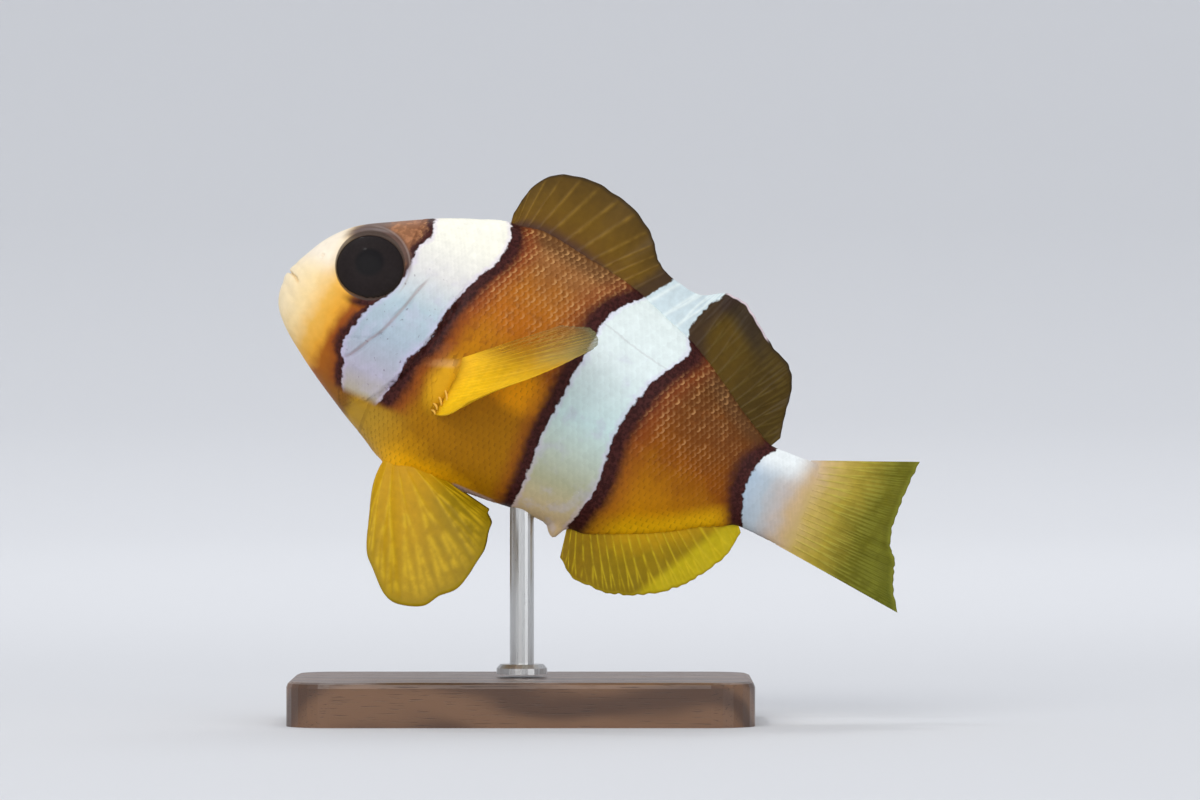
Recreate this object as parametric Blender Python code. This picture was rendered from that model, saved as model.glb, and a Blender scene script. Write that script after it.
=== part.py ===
"""Young Clark's anemonefish (clownfish), a life-size still model on a plain display stand.

The fish is drawn in a frame of its own, in millimetres: x runs back from the tip of the snout,
z up, and y to the fish's right, so its left side faces -y. An empty then lifts it over the stand
and tips it nose-up. The body is one turned-looking form, parted by thin cuts at the gill openings
and behind the vent; jaw, gill covers and eye sockets are cut from the head with Booleans.
The row frame has +Z up and its origin in the middle of the underside of the stand's base.
"""

import math

import bmesh
import bpy
from mathutils import Matrix, Vector

MM = 0.001
GAP = 0.3  # the space left at every seam, so that neighbours meet without touching

# Pose of the fish over its stand
PITCH = 23.0  # degrees, nose up
SNOUT_HEIGHT = 39.0
ROD_CONTACT = 28.2  # where along the body the rod meets the belly
TAIL_SWING = 2.2  # how far the tip of the tail fin is swept to the fish's right
SWING_START = 26.0
TOTAL_LENGTH = 63.3

# Stand
BASE_LENGTH, BASE_WIDTH, BASE_HEIGHT = 42.0, 26.0, 4.0
BASE_CORNER = 4.0
BASE_CHAMFER = 0.5
ROD_RADIUS = 1.1
ROD_FOOT_RADIUS, ROD_FOOT_HEIGHT = 2.3, 0.9
ROD_IN_BELLY = 1.2

# Body profiles, each through (distance back from the snout, size) points
BACK = ((0, 1.1), (0.3, 2.7), (1, 4.2), (2, 6.0), (4, 8.15), (7, 9.95), (11, 12.0), (14, 13.2), (17, 14.1),
        (20, 14.15), (24, 13.6), (29, 12.75), (33, 11.4), (36.5, 10.1), (40, 8.1), (43.5, 5.9), (46, 4.75),
        (48, 4.7), (51.5, 5.25))
BELLY = ((0, 1.1), (0.3, -0.7), (1.5, -2.35), (4, -4.3), (8, -6.85), (12, -9.05), (15, -10.45), (18, -10.55),
         (22, -10.0), (26, -9.75), (31, -9.8), (34, -9.0), (38, -7.4), (41, -5.9), (44, -4.1), (46.5, -3.25),
         (51.5, -3.85))
HALF_WIDTH = ((0, 0), (0.3, 1.15), (1, 1.95), (2.5, 2.85), (5, 3.65), (8, 4.3), (12, 5.05), (16, 5.5), (20, 5.5),
              (25, 5.15), (30, 4.55), (35, 3.7), (40, 2.8), (44, 2.1), (47, 1.7), (51.5, 0.75))
WIDEST_LEVEL = ((0, 1.1), (4, 1.5), (12, 1.2), (25, 1.6), (38, 0.8), (51.5, 0.7))
BACK_SQUARENESS = ((0, 2.1), (7, 2.4), (16, 1.95), (30, 1.75), (51.5, 2.0))  # 2 is an ellipse
BELLY_SQUARENESS = ((0, 2.0), (8, 1.9), (18, 2.3), (28, 2.1), (40, 1.8), (51.5, 2.0))
BODY_END = 51.0
AROUND = 28

# Seams round the body: (height as the sine of the turn, distance back)
GILL_OPENING = ((-1, 9.0), (-0.75, 11.0), (-0.4, 12.8), (0, 14.2), (0.5, 15.4), (1, 17.2))
BEHIND_VENT = ((-1, 32.2), (-0.6, 33.3), (0, 33.2), (0.5, 34.3), (1, 36.2))

# Head
EYE_PLACE = (6.8, 2.75, 5.2)
EYE_RADIUS, EYE_BULGE = 3.3, 1.6
EYE_TILT, EYE_FORWARD = 15.0, 13.0  # degrees that the eye looks up, and forward
JAW_SIDE = ((-2, 2.1), (1.6, 1.8), (4.4, -1.4), (5.0, -7), (-2, -7))
GILL_COVER_SIDE = ((12.8, 8.2), (12.1, 6.6), (11.7, 4.6), (10.5, 1.2), (9.0, -1.9), (8.2, -3.6), (8.6, -5.6),
                   (10.2, -6.9), (22, -6.9), (22, 8.9), (14.2, 8.9))
GILL_COVER_DEPTH = 3.3  # how far out from the middle the gill covers begin
VENT_TIP, VENT_ROOT = (31.6, -10.95), (31.2, -9.0)
VENT_RADII = (0.75, 0.15)

# Fins. A rib is (root x, tip x, tip z) on the fins of the midline
DORSAL_RIBS = ((17.1, 16.9, 15.0), (17.7, 17.4, 17.5), (19.3, 19.4, 19.9), (21.9, 23.0, 20.55), (25.0, 27.0, 19.55),
               (28.4, 30.4, 17.1), (31.0, 31.7, 15.5), (33.6, 35.3, 14.75), (35.6, 38.3, 16.0), (38.6, 42.2, 13.7),
               (41.6, 45.5, 11.9), (44.2, 46.8, 8.2), (46.4, 47.2, 5.7))
DORSAL_PARTING = 0.565
SPINES, SOFT_RAYS = 10, 15
ANAL_RIBS = ((32.5, 32.7, -10.7), (33.2, 33.5, -12.6), (34.8, 36.4, -13.65), (37.2, 39.5, -13.0), (39.6, 42.2, -11.7),
             (42.0, 44.9, -9.3), (44.4, 46.8, -6.5), (46.5, 47.3, -3.9))
ANAL_RAYS = 14
# Tail fin: (root height, tip x, tip z)
TAIL_RIBS = ((4.7, 59.8, 8.55), (3.5, 59.7, 5.8), (2.1, 59.75, 3.2), (0.8, 60.2, 0.8), (-0.6, 61.3, -0.7),
             (-1.9, 61.9, -2.5), (-3.3, 63.3, -4.75))
TAIL_RAYS = 15
# Paired fins: (root x, y, z, tip x, y, z), with y outwards
PECTORAL_RIBS = ((17.1, 5.7, 0.3, 24.5, 6.9, 7.0), (17.2, 5.8, -0.6, 27.0, 8.4, 7.6), (17.3, 5.8, -1.6, 28.3, 10.6, 6.6),
                 (17.4, 5.7, -2.7, 27.6, 12.6, 5.0), (17.5, 5.6, -3.7, 25.6, 13.9, 3.0), (17.7, 5.3, -4.7, 22.6, 14.0, 0.5))
PECTORAL_RAYS = 12
PELVIC_RIBS = ((14.9, 1.6, -10.0, 15.2, 2.4, -14.2), (15.3, 1.6, -9.8, 17.0, 4.4, -18.9), (15.9, 1.6, -9.5, 21.0, 5.6, -21.7),
               (16.5, 1.6, -9.2, 24.6, 5.6, -19.8), (17.1, 1.6, -8.9, 26.4, 4.6, -15.2), (17.7, 1.6, -8.7, 26.1, 3.2, -12.0),
               (18.2, 1.6, -8.5, 25.3, 2.0, -10.7))
PELVIC_RAYS = 9
FIN_EDGE = 0.5  # thickness of a fin's membrane at its free edge
FIN_RIDGE = 0.16  # how far a ray stands proud of the membrane on each side
SCALLOP = 0.025  # how far the edge draws in between rays, as a share of a ray


def clear_scene():
    for obj in list(bpy.data.objects):
        bpy.data.objects.remove(obj)


def smooth(points):
    """A curve through (place, value) points that never overshoots them."""
    places = [p[0] for p in points]
    values = [p[1] for p in points]
    steps = [b - a for a, b in zip(places, places[1:])]
    rises = [(b - a) / h for a, b, h in zip(values, values[1:], steps)]
    slopes = [rises[0]]
    for i in range(1, len(steps)):
        before, after = rises[i - 1], rises[i]
        if before * after <= 0:
            slopes.append(0.0)
            continue
        heavy, light = 2 * steps[i] + steps[i - 1], steps[i] + 2 * steps[i - 1]
        slopes.append((heavy + light) / (heavy / before + light / after))
    slopes.append(rises[-1])

    def at(place):
        place = min(max(place, places[0]), places[-1])
        i = max(k for k in range(len(steps)) if places[k] <= place)
        t = (place - places[i]) / steps[i]
        start = values[i] * (1 + 2 * t) * (1 - t) ** 2 + slopes[i] * steps[i] * t * (1 - t) ** 2
        end = values[i + 1] * t * t * (3 - 2 * t) - slopes[i + 1] * steps[i] * t * t * (1 - t)
        return start + end

    return at


def profile(points):
    """A body profile. Distances are rooted, which rounds the snout."""
    curve = smooth([(math.sqrt(x), size) for x, size in points])
    return lambda x: curve(math.sqrt(max(x, 0.0)))


back, belly, half_width = profile(BACK), profile(BELLY), profile(HALF_WIDTH)
widest_level = profile(WIDEST_LEVEL)
back_squareness, belly_squareness = profile(BACK_SQUARENESS), profile(BELLY_SQUARENESS)


def swing(x):
    """How far the sweep of the tail carries the body to the fish's right."""
    return TAIL_SWING * (max(0.0, x - SWING_START) / (TOTAL_LENGTH - SWING_START)) ** 2


def body_point(x, turn, grow=0.0):
    """A point of the skin. turn goes from the right flank over the back to the left flank."""
    side, rise = math.cos(turn), math.sin(turn)
    level = widest_level(x)
    if rise >= 0:
        reach, power = back(x) - level, 2 / back_squareness(x)
    else:
        reach, power = level - belly(x), 2 / belly_squareness(x)
    y = (half_width(x) + grow) * math.copysign(abs(side) ** power, side)
    z = level + (reach + grow) * math.copysign(abs(rise) ** power, rise)
    return Vector((x, y, z))


def material(name, colour, roughness, metallic=0.0):
    made = bpy.data.materials.new(name)
    made.use_nodes = True
    shader = made.node_tree.nodes["Principled BSDF"]
    shader.inputs["Base Color"].default_value = (*colour, 1.0)
    shader.inputs["Roughness"].default_value = roughness
    shader.inputs["Metallic"].default_value = metallic
    return made


def add_object(name, bm, finish, parent=None):
    """The bmesh, in millimetres, as an object in metres, swept with the tail if it belongs to the fish."""
    if parent:
        for vertex in bm.verts:
            vertex.co.y += swing(vertex.co.x)
    bmesh.ops.scale(bm, vec=(MM, MM, MM), verts=bm.verts)
    bmesh.ops.recalc_face_normals(bm, faces=bm.faces)
    mesh = bpy.data.meshes.new(name)
    bm.to_mesh(mesh)
    bm.free()
    mesh.shade_smooth()
    mesh.set_sharp_from_angle(angle=math.radians(40))
    obj = bpy.data.objects.new(name, mesh)
    bpy.context.scene.collection.objects.link(obj)
    obj.parent = parent
    if finish:
        mesh.materials.append(finish)
    return obj


def add_cutter(name, bm, parent):
    obj = add_object(name, bm, None, parent)
    obj.hide_render = True
    obj.display_type = "WIRE"
    return obj


def boolean(obj, other, operation):
    modifier = obj.modifiers.new(other.name, "BOOLEAN")
    modifier.operation = operation
    modifier.solver = "EXACT"
    modifier.object = other


def bridge(bm, first, second):
    """Side faces between two rings of vertices of the same count."""
    for i in range(len(first)):
        j = (i + 1) % len(first)
        bm.faces.new((first[i], first[j], second[j], second[i]))


def fan(bm, ring, centre):
    middle = bm.verts.new(centre)
    for i in range(len(ring)):
        bm.faces.new((ring[i], ring[(i + 1) % len(ring)], middle))


def body_length(front, rear, stations, grow=0.0, crowd=1.0):
    """A closed length of the body between two seams, each a function of the sine of the turn."""
    bm = bmesh.new()
    rings = []
    for i in range(stations + 1):
        share = (i / stations) ** crowd
        ring = []
        for k in range(AROUND):
            turn = 2 * math.pi * (k + 0.5) / AROUND
            start, end = front(math.sin(turn)), rear(math.sin(turn))
            ring.append(body_point(start + (end - start) * share, turn, grow))
        if ring[0].x > 0:
            rings.append([bm.verts.new(point) for point in ring])
    for first, second in zip(rings, rings[1:]):
        bridge(bm, first, second)
    for ring, seam in ((rings[0], front), (rings[-1], rear)):
        fan(bm, ring, (seam(0), 0, widest_level(seam(0))))
    return bm


def ribs(table):
    """The columns of a table of ribs, each as a curve over 0 to 1 along the fin."""
    last = len(table) - 1
    return [smooth([(i / last, row[k]) for i, row in enumerate(table)]) for k in range(len(table[0]))]


def fin_blade(root, tip, rays, rows, root_thickness, start=0.0, end=1.0):
    """A fin as a closed blade, thickest at its root, with a ridge along each ray and a scalloped edge."""
    columns = 2 * rays
    centres = []
    for i in range(columns + 1):
        along = start + (end - start) * i / columns
        between = i % 2
        reach = 1 - SCALLOP * between
        column = [root(along).lerp(tip(along), reach * j / rows) for j in range(rows + 1)]
        centres.append((between, column))

    def slope(i, j):
        """The blade's normal there, from its neighbours."""
        left, right = centres[max(i - 1, 0)][1][j], centres[min(i + 1, columns)][1][j]
        low, high = centres[i][1][max(j - 1, 0)], centres[i][1][min(j + 1, rows)]
        return (right - left).cross(high - low).normalized()

    bm = bmesh.new()
    sides = {1: [], -1: []}
    for i, (between, column) in enumerate(centres):
        for side, grid in sides.items():
            line = []
            for j, point in enumerate(column):
                share = j / rows
                half = (root_thickness * (1 - share) ** 1.5 + FIN_EDGE) / 2
                half += 0 if between else FIN_RIDGE * (1 - 0.5 * share)
                line.append(bm.verts.new(point + slope(i, j) * side * half))
            grid.append(line)
    for grid in sides.values():
        for a, b in zip(grid, grid[1:]):
            for j in range(rows):
                bm.faces.new((a[j], b[j], b[j + 1], a[j + 1]))
    right, left = sides[1], sides[-1]
    for edge in (0, rows):
        for i in range(columns):
            bm.faces.new((right[i][edge], right[i + 1][edge], left[i + 1][edge], left[i][edge]))
    for side in (0, columns):
        for j in range(rows):
            bm.faces.new((right[side][j], right[side][j + 1], left[side][j + 1], left[side][j]))
    return bm


def midline_fin(table, root_height, rays, rows, root_thickness, start=0.0, end=1.0):
    """A dorsal or anal fin, whose root follows the body's outline."""
    root_x, tip_x, tip_z = ribs(table)
    return fin_blade(
        lambda u: Vector((root_x(u), 0, root_height(root_x(u)))),
        lambda u: Vector((tip_x(u), 0, tip_z(u))),
        rays, rows, root_thickness, start, end)


def paired_fin(table, side, rays, rows, root_thickness):
    """A pectoral or pelvic fin on the right (side 1) or left (side -1)."""
    curves = ribs(table)

    def place(u, first):
        x, y, z = (curve(u) for curve in curves[first:first + 3])
        return Vector((x, side * y, z))

    return fin_blade(lambda u: place(u, 0), lambda u: place(u, 3), rays, rows, root_thickness)


def prism(outline, low, high):
    """A flat outline in the side view, drawn out across the fish from y low to y high."""
    bm = bmesh.new()
    near = [bm.verts.new((x, low, z)) for x, z in outline]
    far = [bm.verts.new((x, high, z)) for x, z in outline]
    bridge(bm, near, far)
    bm.faces.new(near)
    bm.faces.new(far)
    return bm


def grown(outline, distance):
    """The outline with every side moved out by a distance."""
    area = sum(a[0] * b[1] - b[0] * a[1] for a, b in zip(outline, outline[1:] + outline[:1]))
    outward = 1 if area > 0 else -1
    moved = []
    for i, corner in enumerate(outline):
        before, after = Vector(outline[i - 1]), Vector(outline[(i + 1) % len(outline)])
        corner = Vector(corner)
        arriving, leaving = (corner - before).normalized(), (after - corner).normalized()
        normals = [outward * Vector((way.y, -way.x)) for way in (arriving, leaving)]
        mitre = (normals[0] + normals[1]).normalized()
        moved.append(tuple(corner + mitre * distance / mitre.dot(normals[0])))
    return moved


def eye_ball(side, grow=0.0):
    """A flattened ball, its flat way turned to look out, up and forward."""
    bm = bmesh.new()
    bmesh.ops.create_uvsphere(bm, u_segments=20, v_segments=10, radius=1)
    x, y, z = EYE_PLACE
    turn = Matrix.Rotation(math.radians(side * (90 - EYE_TILT)), 4, "X")
    forward = Matrix.Rotation(math.radians(side * EYE_FORWARD), 4, "Z")
    size = Matrix.Diagonal((EYE_RADIUS + grow, EYE_RADIUS + grow, EYE_BULGE + grow, 1))
    bmesh.ops.transform(bm, matrix=Matrix.Translation((x, side * y, z)) @ forward @ turn @ size, verts=bm.verts)
    return bm


def tube(stations, sides=24):
    """A turned form about the z axis, through (radius, height) stations from the bottom up."""
    bm = bmesh.new()
    rings = []
    for radius, height in stations:
        turns = [2 * math.pi * k / sides for k in range(sides)]
        rings.append([bm.verts.new((radius * math.cos(t), radius * math.sin(t), height)) for t in turns])
    for first, second in zip(rings, rings[1:]):
        bridge(bm, first, second)
    bm.faces.new(rings[0])
    bm.faces.new(rings[-1])
    return bm


def add_head(fish, skin):
    """The head with its lower jaw, gill covers and eyes as pieces of their own."""
    gill_opening = smooth(GILL_OPENING)

    def whole_head(name):
        return add_object(name, body_length(lambda rise: 0.0, gill_opening, 24, crowd=1.7), skin, fish)

    head, jaw = whole_head("head"), whole_head("lower_jaw")
    jaw_room = add_cutter("jaw_room", prism(grown(list(JAW_SIDE), GAP), -8, 8), fish)
    jaw_block = add_cutter("jaw_block", prism(JAW_SIDE, -8, 8), fish)
    boolean(head, jaw_room, "DIFFERENCE")
    boolean(jaw, jaw_block, "INTERSECT")
    for side, word in ((-1, "left"), (1, "right")):
        ends = sorted((side * GILL_COVER_DEPTH, side * 8))
        block = add_cutter("gill_block_" + word, prism(GILL_COVER_SIDE, *ends), fish)
        ends = sorted((side * (GILL_COVER_DEPTH - GAP), side * 9))
        room = add_cutter("gill_room_" + word, prism(grown(list(GILL_COVER_SIDE), GAP), *ends), fish)
        boolean(whole_head("gill_cover_" + word), block, "INTERSECT")
        boolean(head, room, "DIFFERENCE")
        boolean(head, add_cutter("eye_socket_" + word, eye_ball(side, GAP), fish), "DIFFERENCE")


def add_eyes(fish, finish):
    for side, word in ((-1, "left"), (1, "right")):
        add_object("eye_" + word, eye_ball(side), finish, fish)


def add_trunk(fish, skin):
    """The trunk from the gill openings to behind the vent, with the socket for the rod, and the tail behind it."""
    gill_opening, behind_vent = smooth(GILL_OPENING), smooth(BEHIND_VENT)
    trunk = add_object("trunk", body_length(lambda rise: gill_opening(rise) + GAP, behind_vent, 13), skin, fish)
    vent = tube(((VENT_RADII[0], 0), (VENT_RADII[1], 1)), sides=10)
    root, tip = Vector((VENT_ROOT[0], 0, VENT_ROOT[1])), Vector((VENT_TIP[0], 0, VENT_TIP[1]))
    for vertex in vent.verts:
        vertex.co = root.lerp(tip, vertex.co.z) + Vector((vertex.co.x, vertex.co.y, 0))
    boolean(trunk, add_cutter("vent", vent, fish), "UNION")
    add_object("tail_stem", body_length(lambda rise: behind_vent(rise) + GAP, lambda rise: BODY_END, 11), skin, fish)
    return trunk


def add_fins(fish, brown, yellow, pale):
    """The fins of the midline stand off the body by the seam; the paired fins are trimmed to it."""
    spiny = midline_fin(DORSAL_RIBS, lambda x: back(x) + GAP, SPINES, 4, 0.7, 0, DORSAL_PARTING)
    add_object("dorsal_fin_spiny", spiny, brown, fish)
    soft = midline_fin(DORSAL_RIBS, lambda x: back(x) + GAP, SOFT_RAYS, 4, 0.7, DORSAL_PARTING + 0.012, 1)
    add_object("dorsal_fin_soft", soft, brown, fish)
    anal = midline_fin(ANAL_RIBS, lambda x: belly(x) - GAP, ANAL_RAYS, 4, 0.7)
    add_object("anal_fin", anal, yellow, fish)

    root_z, tip_x, tip_z = ribs(TAIL_RIBS)
    tail_fin = fin_blade(
        lambda u: Vector((BODY_END + GAP, 0, root_z(u))), lambda u: Vector((tip_x(u), 0, tip_z(u))),
        TAIL_RAYS, 5, 0.9)
    add_object("tail_fin", tail_fin, pale, fish)

    flank = body_length(lambda rise: 10.0, lambda rise: 31.0, 14, grow=GAP)
    flank_room = add_cutter("flank_room", flank, fish)
    for side, word in ((-1, "left"), (1, "right")):
        pectoral = paired_fin(PECTORAL_RIBS, side, PECTORAL_RAYS, 4, 0.8)
        pelvic = paired_fin(PELVIC_RIBS, side, PELVIC_RAYS, 4, 0.9)
        for name, blade in (("pectoral_fin_", pectoral), ("pelvic_fin_", pelvic)):
            boolean(add_object(name + word, blade, yellow, fish), flank_room, "DIFFERENCE")


def fish_frame():
    """The empty that lifts and tips the fish, so that the rod stands over the middle of the base."""
    tip = math.radians(PITCH)
    contact_x, contact_z = ROD_CONTACT, belly(ROD_CONTACT)
    forward = contact_x * math.cos(tip) + contact_z * math.sin(tip)
    empty = bpy.data.objects.new("fish", None)
    empty.location = Vector((-forward, 0, SNOUT_HEIGHT)) * MM
    empty.rotation_euler = (0, tip, 0)
    bpy.context.scene.collection.objects.link(empty)
    contact_height = SNOUT_HEIGHT - contact_x * math.sin(tip) + contact_z * math.cos(tip)
    return empty, contact_height


def add_stand(trunk, contact_height, wood, steel):
    """A chamfered base and a footed rod. The rod ends in a socket in the belly."""
    bm = bmesh.new()
    bmesh.ops.create_cube(bm, size=1)
    bmesh.ops.scale(bm, vec=(BASE_LENGTH, BASE_WIDTH, BASE_HEIGHT), verts=bm.verts)
    bmesh.ops.translate(bm, vec=(0, 0, BASE_HEIGHT / 2), verts=bm.verts)
    upright = [e for e in bm.edges if abs(e.verts[0].co.z - e.verts[1].co.z) > BASE_HEIGHT / 2]
    bmesh.ops.bevel(bm, geom=upright, offset=BASE_CORNER, segments=6, profile=0.5, affect="EDGES")
    rim = [e for e in bm.edges if all(v.co.z > BASE_HEIGHT * 0.99 for v in e.verts)]
    bmesh.ops.bevel(bm, geom=rim, offset=BASE_CHAMFER, segments=2, profile=0.5, affect="EDGES")
    add_object("stand_base", bm, wood)

    foot = BASE_HEIGHT + GAP
    top = contact_height + ROD_IN_BELLY
    rod = ((ROD_FOOT_RADIUS, foot), (ROD_FOOT_RADIUS, foot + ROD_FOOT_HEIGHT * 0.6),
           (ROD_FOOT_RADIUS * 0.85, foot + ROD_FOOT_HEIGHT), (ROD_RADIUS, foot + ROD_FOOT_HEIGHT), (ROD_RADIUS, top))
    add_object("stand_rod", tube(rod), steel)

    socket = tube(((ROD_RADIUS + GAP, contact_height - 6), (ROD_RADIUS + GAP, top + GAP)))
    boolean(trunk, add_cutter("rod_socket", socket, None), "DIFFERENCE")


def main():
    clear_scene()
    skin = material("skin_orange_brown", (0.52, 0.24, 0.05), 0.4)
    brown = material("fin_brown", (0.24, 0.15, 0.03), 0.45)
    yellow = material("fin_yellow", (0.62, 0.43, 0.03), 0.45)
    pale = material("fin_pale_yellow", (0.6, 0.5, 0.18), 0.45)
    dark = material("eye_dark", (0.03, 0.022, 0.025), 0.08)
    wood = material("stand_wood", (0.16, 0.08, 0.04), 0.4)
    steel = material("stand_steel", (0.6, 0.6, 0.6), 0.3, 1.0)
    fish, contact_height = fish_frame()
    add_head(fish, skin)
    add_eyes(fish, dark)
    trunk = add_trunk(fish, skin)
    add_fins(fish, brown, yellow, pale)
    add_stand(trunk, contact_height, wood, steel)


main()
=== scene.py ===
"""A young banded clownfish, life size, on its display stand: the finish of every piece.

The fish is worked in a frame of its own, in millimetres: x runs back from the tip of the snout,
y to the fish's right and z up. to_row() carries points from there to the row frame, in metres.
The stand keeps its CAD nodes and gets its wood and steel.
"""

import math

import bpy
import numpy as np
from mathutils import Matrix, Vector


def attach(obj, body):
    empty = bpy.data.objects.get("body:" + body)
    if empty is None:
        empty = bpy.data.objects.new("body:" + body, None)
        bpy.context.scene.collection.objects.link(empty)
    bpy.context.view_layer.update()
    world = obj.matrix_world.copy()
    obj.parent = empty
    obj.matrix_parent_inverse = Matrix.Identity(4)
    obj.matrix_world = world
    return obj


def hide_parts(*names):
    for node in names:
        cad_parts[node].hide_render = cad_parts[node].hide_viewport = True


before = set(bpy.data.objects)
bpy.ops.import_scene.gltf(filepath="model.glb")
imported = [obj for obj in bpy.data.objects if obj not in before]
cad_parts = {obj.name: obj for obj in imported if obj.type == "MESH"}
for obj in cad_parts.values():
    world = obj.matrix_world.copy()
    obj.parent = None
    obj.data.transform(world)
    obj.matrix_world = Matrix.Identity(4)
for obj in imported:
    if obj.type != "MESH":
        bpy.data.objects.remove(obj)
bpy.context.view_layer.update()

MM = 0.001
SIDES = ((-1, "left"), (1, "right"))

# Where the fish hangs over its stand
PITCH = math.radians(23)  # nose up
SNOUT = np.array((-0.02214, 0, 0.039))
ALONG = np.array((math.cos(PITCH), 0, -math.sin(PITCH)))
ACROSS = np.array((0, 1, 0))
UPWARDS = np.array((math.sin(PITCH), 0, math.cos(PITCH)))
TAIL_SWING, SWING_START, TOTAL_LENGTH = 2.2, 26.0, 63.3

# Body profiles, each through (distance back from the snout, size) points
BACK = (
    (0, 1.1), (0.3, 2.7), (1, 4.2), (2, 6.0), (4, 8.15), (7, 9.95), (11, 12.0), (14, 13.2), (17, 14.1),
    (20, 14.15), (24, 13.6), (29, 12.75), (33, 11.4), (36.5, 10.1), (40, 8.1), (43.5, 5.9), (46, 4.75),
    (48, 4.7), (52.6, 5.0))
BELLY = (
    (0, 1.1), (0.3, -0.7), (1.5, -2.35), (4, -4.3), (8, -6.85), (12, -9.05), (15, -10.45), (18, -10.55),
    (22, -10.2), (25, -10.0), (28, -9.75), (31, -9.8), (34, -9.0), (38, -7.4), (41, -5.9), (44, -4.1),
    (46.5, -3.25), (52.6, -3.6))
HALF_WIDTH = (
    (0, 0), (0.3, 1.15), (1, 1.95), (2.5, 2.85), (5, 3.65), (8, 4.3), (12, 5.05), (16, 5.5), (20, 5.5),
    (25, 5.15), (30, 4.55), (35, 3.7), (40, 2.8), (44, 2.1), (47, 1.65), (50, 1.05), (51.5, 0.72),
    (52.3, 0.5), (52.6, 0))
WIDEST_LEVEL = ((0, 1.1), (4, 1.5), (12, 1.2), (25, 1.6), (38, 0.8), (52.6, 0.7))
BACK_SQUARENESS = ((0, 2.1), (7, 2.4), (16, 1.95), (30, 1.75), (52.6, 2.0))  # 2 is an ellipse
BELLY_SQUARENESS = ((0, 2.0), (8, 1.9), (18, 2.3), (28, 2.1), (40, 1.8), (52.6, 2.0))
BODY_END = 52.6

# The skin, which lies under the scales by the coat's depth
SKIN_COLUMNS, SKIN_ROWS = 336, 280
COAT_DEPTH = 0.06
MERGE = 2e-7

# Head, as paths of (x, z) points in the side view
MOUTH = ((-0.6, 2.2), (0.3, 2.1), (1.0, 1.85), (1.5, 1.45), (1.65, 1.15))
PREOPERCLE = (
    (12.3, 6.5), (11.7, 4.9), (11.2, 3.2), (10.6, 1.5), (10.1, 0.3), (9.4, -0.8), (8.8, -1.9), (8.2, -2.8),
    (7.4, -3.4))
PREOPERCLE_LINE = tuple((z, x) for x, z in reversed(PREOPERCLE))
CHEEK_FOLD = ((9.9, -0.45), (8.7, -0.85), (7.4, -1.5))
GILL_SLIT = (
    (15.6, 7.4), (15.3, 5.4), (14.8, 3.0), (14.1, 0.2), (13.1, -2.8), (11.9, -5.2), (10.2, -6.9),
    (8.6, -7.6))
NOSTRIL = (2.5, 4.7)
EYE_PLACE = (7.05, 2.75, 5.34)
EYE_RADIUS, EYE_BULGE = 3.3, 1.6
EYE_TILT, EYE_FORWARD = math.radians(15), math.radians(13)
EYE_OPENING = (3.12, 2.88)  # half width and half height of what shows of it
EYE_HOOD = 0.15  # how far the skin covers the top of the eye more than its foot
EYE_SEEN = (6.85, 5.49)  # the middle of what shows of it in the side view
PECTORAL_LOBE = (16.7, -1.6)
PELVIC_BASE = (15.9, 1.3)  # along, and off the middle
VENT = (31.5, -9.9)

# The white bars' front and rear edges, each as (height, distance back from the snout) points
HEAD_BAR_FRONT = (
    (-7, 9.8), (-5.5, 8.7), (-3.4, 8.0), (-2.4, 7.4), (-0.5, 7.6), (1.7, 8.2), (3.6, 9.4), (5.5, 10.05),
    (7.4, 10.25), (8.6, 10.2), (9.7, 10.8), (10.5, 10.95), (11.4, 10.55), (14, 10.4))
HEAD_BAR_REAR = (
    (-7, 12.0), (-5, 12.6), (-3.2, 13.1), (-1.2, 13.3), (0.9, 14.3), (4.2, 14.85), (6.2, 15.5), (8.1, 16.2),
    (9.8, 17.1), (11.8, 17.65), (13.2, 17.4), (14.5, 16.6))
MID_BAR_FRONT = (
    (-11, 27.0), (-7, 27.3), (-3, 27.15), (2.5, 27.6), (6.8, 28.0), (9.5, 28.5), (11, 29.3), (12.7, 30.9),
    (14.6, 32.3), (17, 33.6))
MID_BAR_REAR = (
    (-11, 32.2), (-7.8, 32.9), (-5.5, 33.5), (0.5, 33.2), (4, 33.9), (5.9, 34.5), (7.5, 35.5), (9.5, 36.5),
    (10.8, 36.0), (11.7, 35.75), (13.5, 36.2), (15.6, 37.4), (17, 38.0))
TAIL_BAR_FRONT = ((-5, 48.0), (-2.6, 46.9), (-0.5, 46.1), (1.5, 46.0), (3.0, 46.3), (4.7, 47.4), (6, 48.2))
TAIL_BAR_REAR = ((-5, 51), (6, 51))
# The same with how wide the dark margin is: in front, as (height, width) points, and behind
HEAD_MARGIN = ((-7, 0.8), (-3, 0.8), (-0.5, 0.9), (2, 0.5), (5, 0.35), (9, 0.6), (14, 0.8))
HEAD_BAR = (HEAD_BAR_FRONT, HEAD_BAR_REAR, HEAD_MARGIN, 1.5)
MID_BAR = (MID_BAR_FRONT, MID_BAR_REAR, ((-11, 1.2), (0, 1.4), (8, 2.0), (17, 1.7)), 1.8)
TAIL_BAR = (TAIL_BAR_FRONT, TAIL_BAR_REAR, ((-5, 1.4), (0, 1.8), (6, 1.7)), 0.01)

LATERAL_LINE = ((28, 9.0), (29, 8.8), (31.8, 8.0), (35.5, 7.25), (36.5, 7.0))

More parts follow.
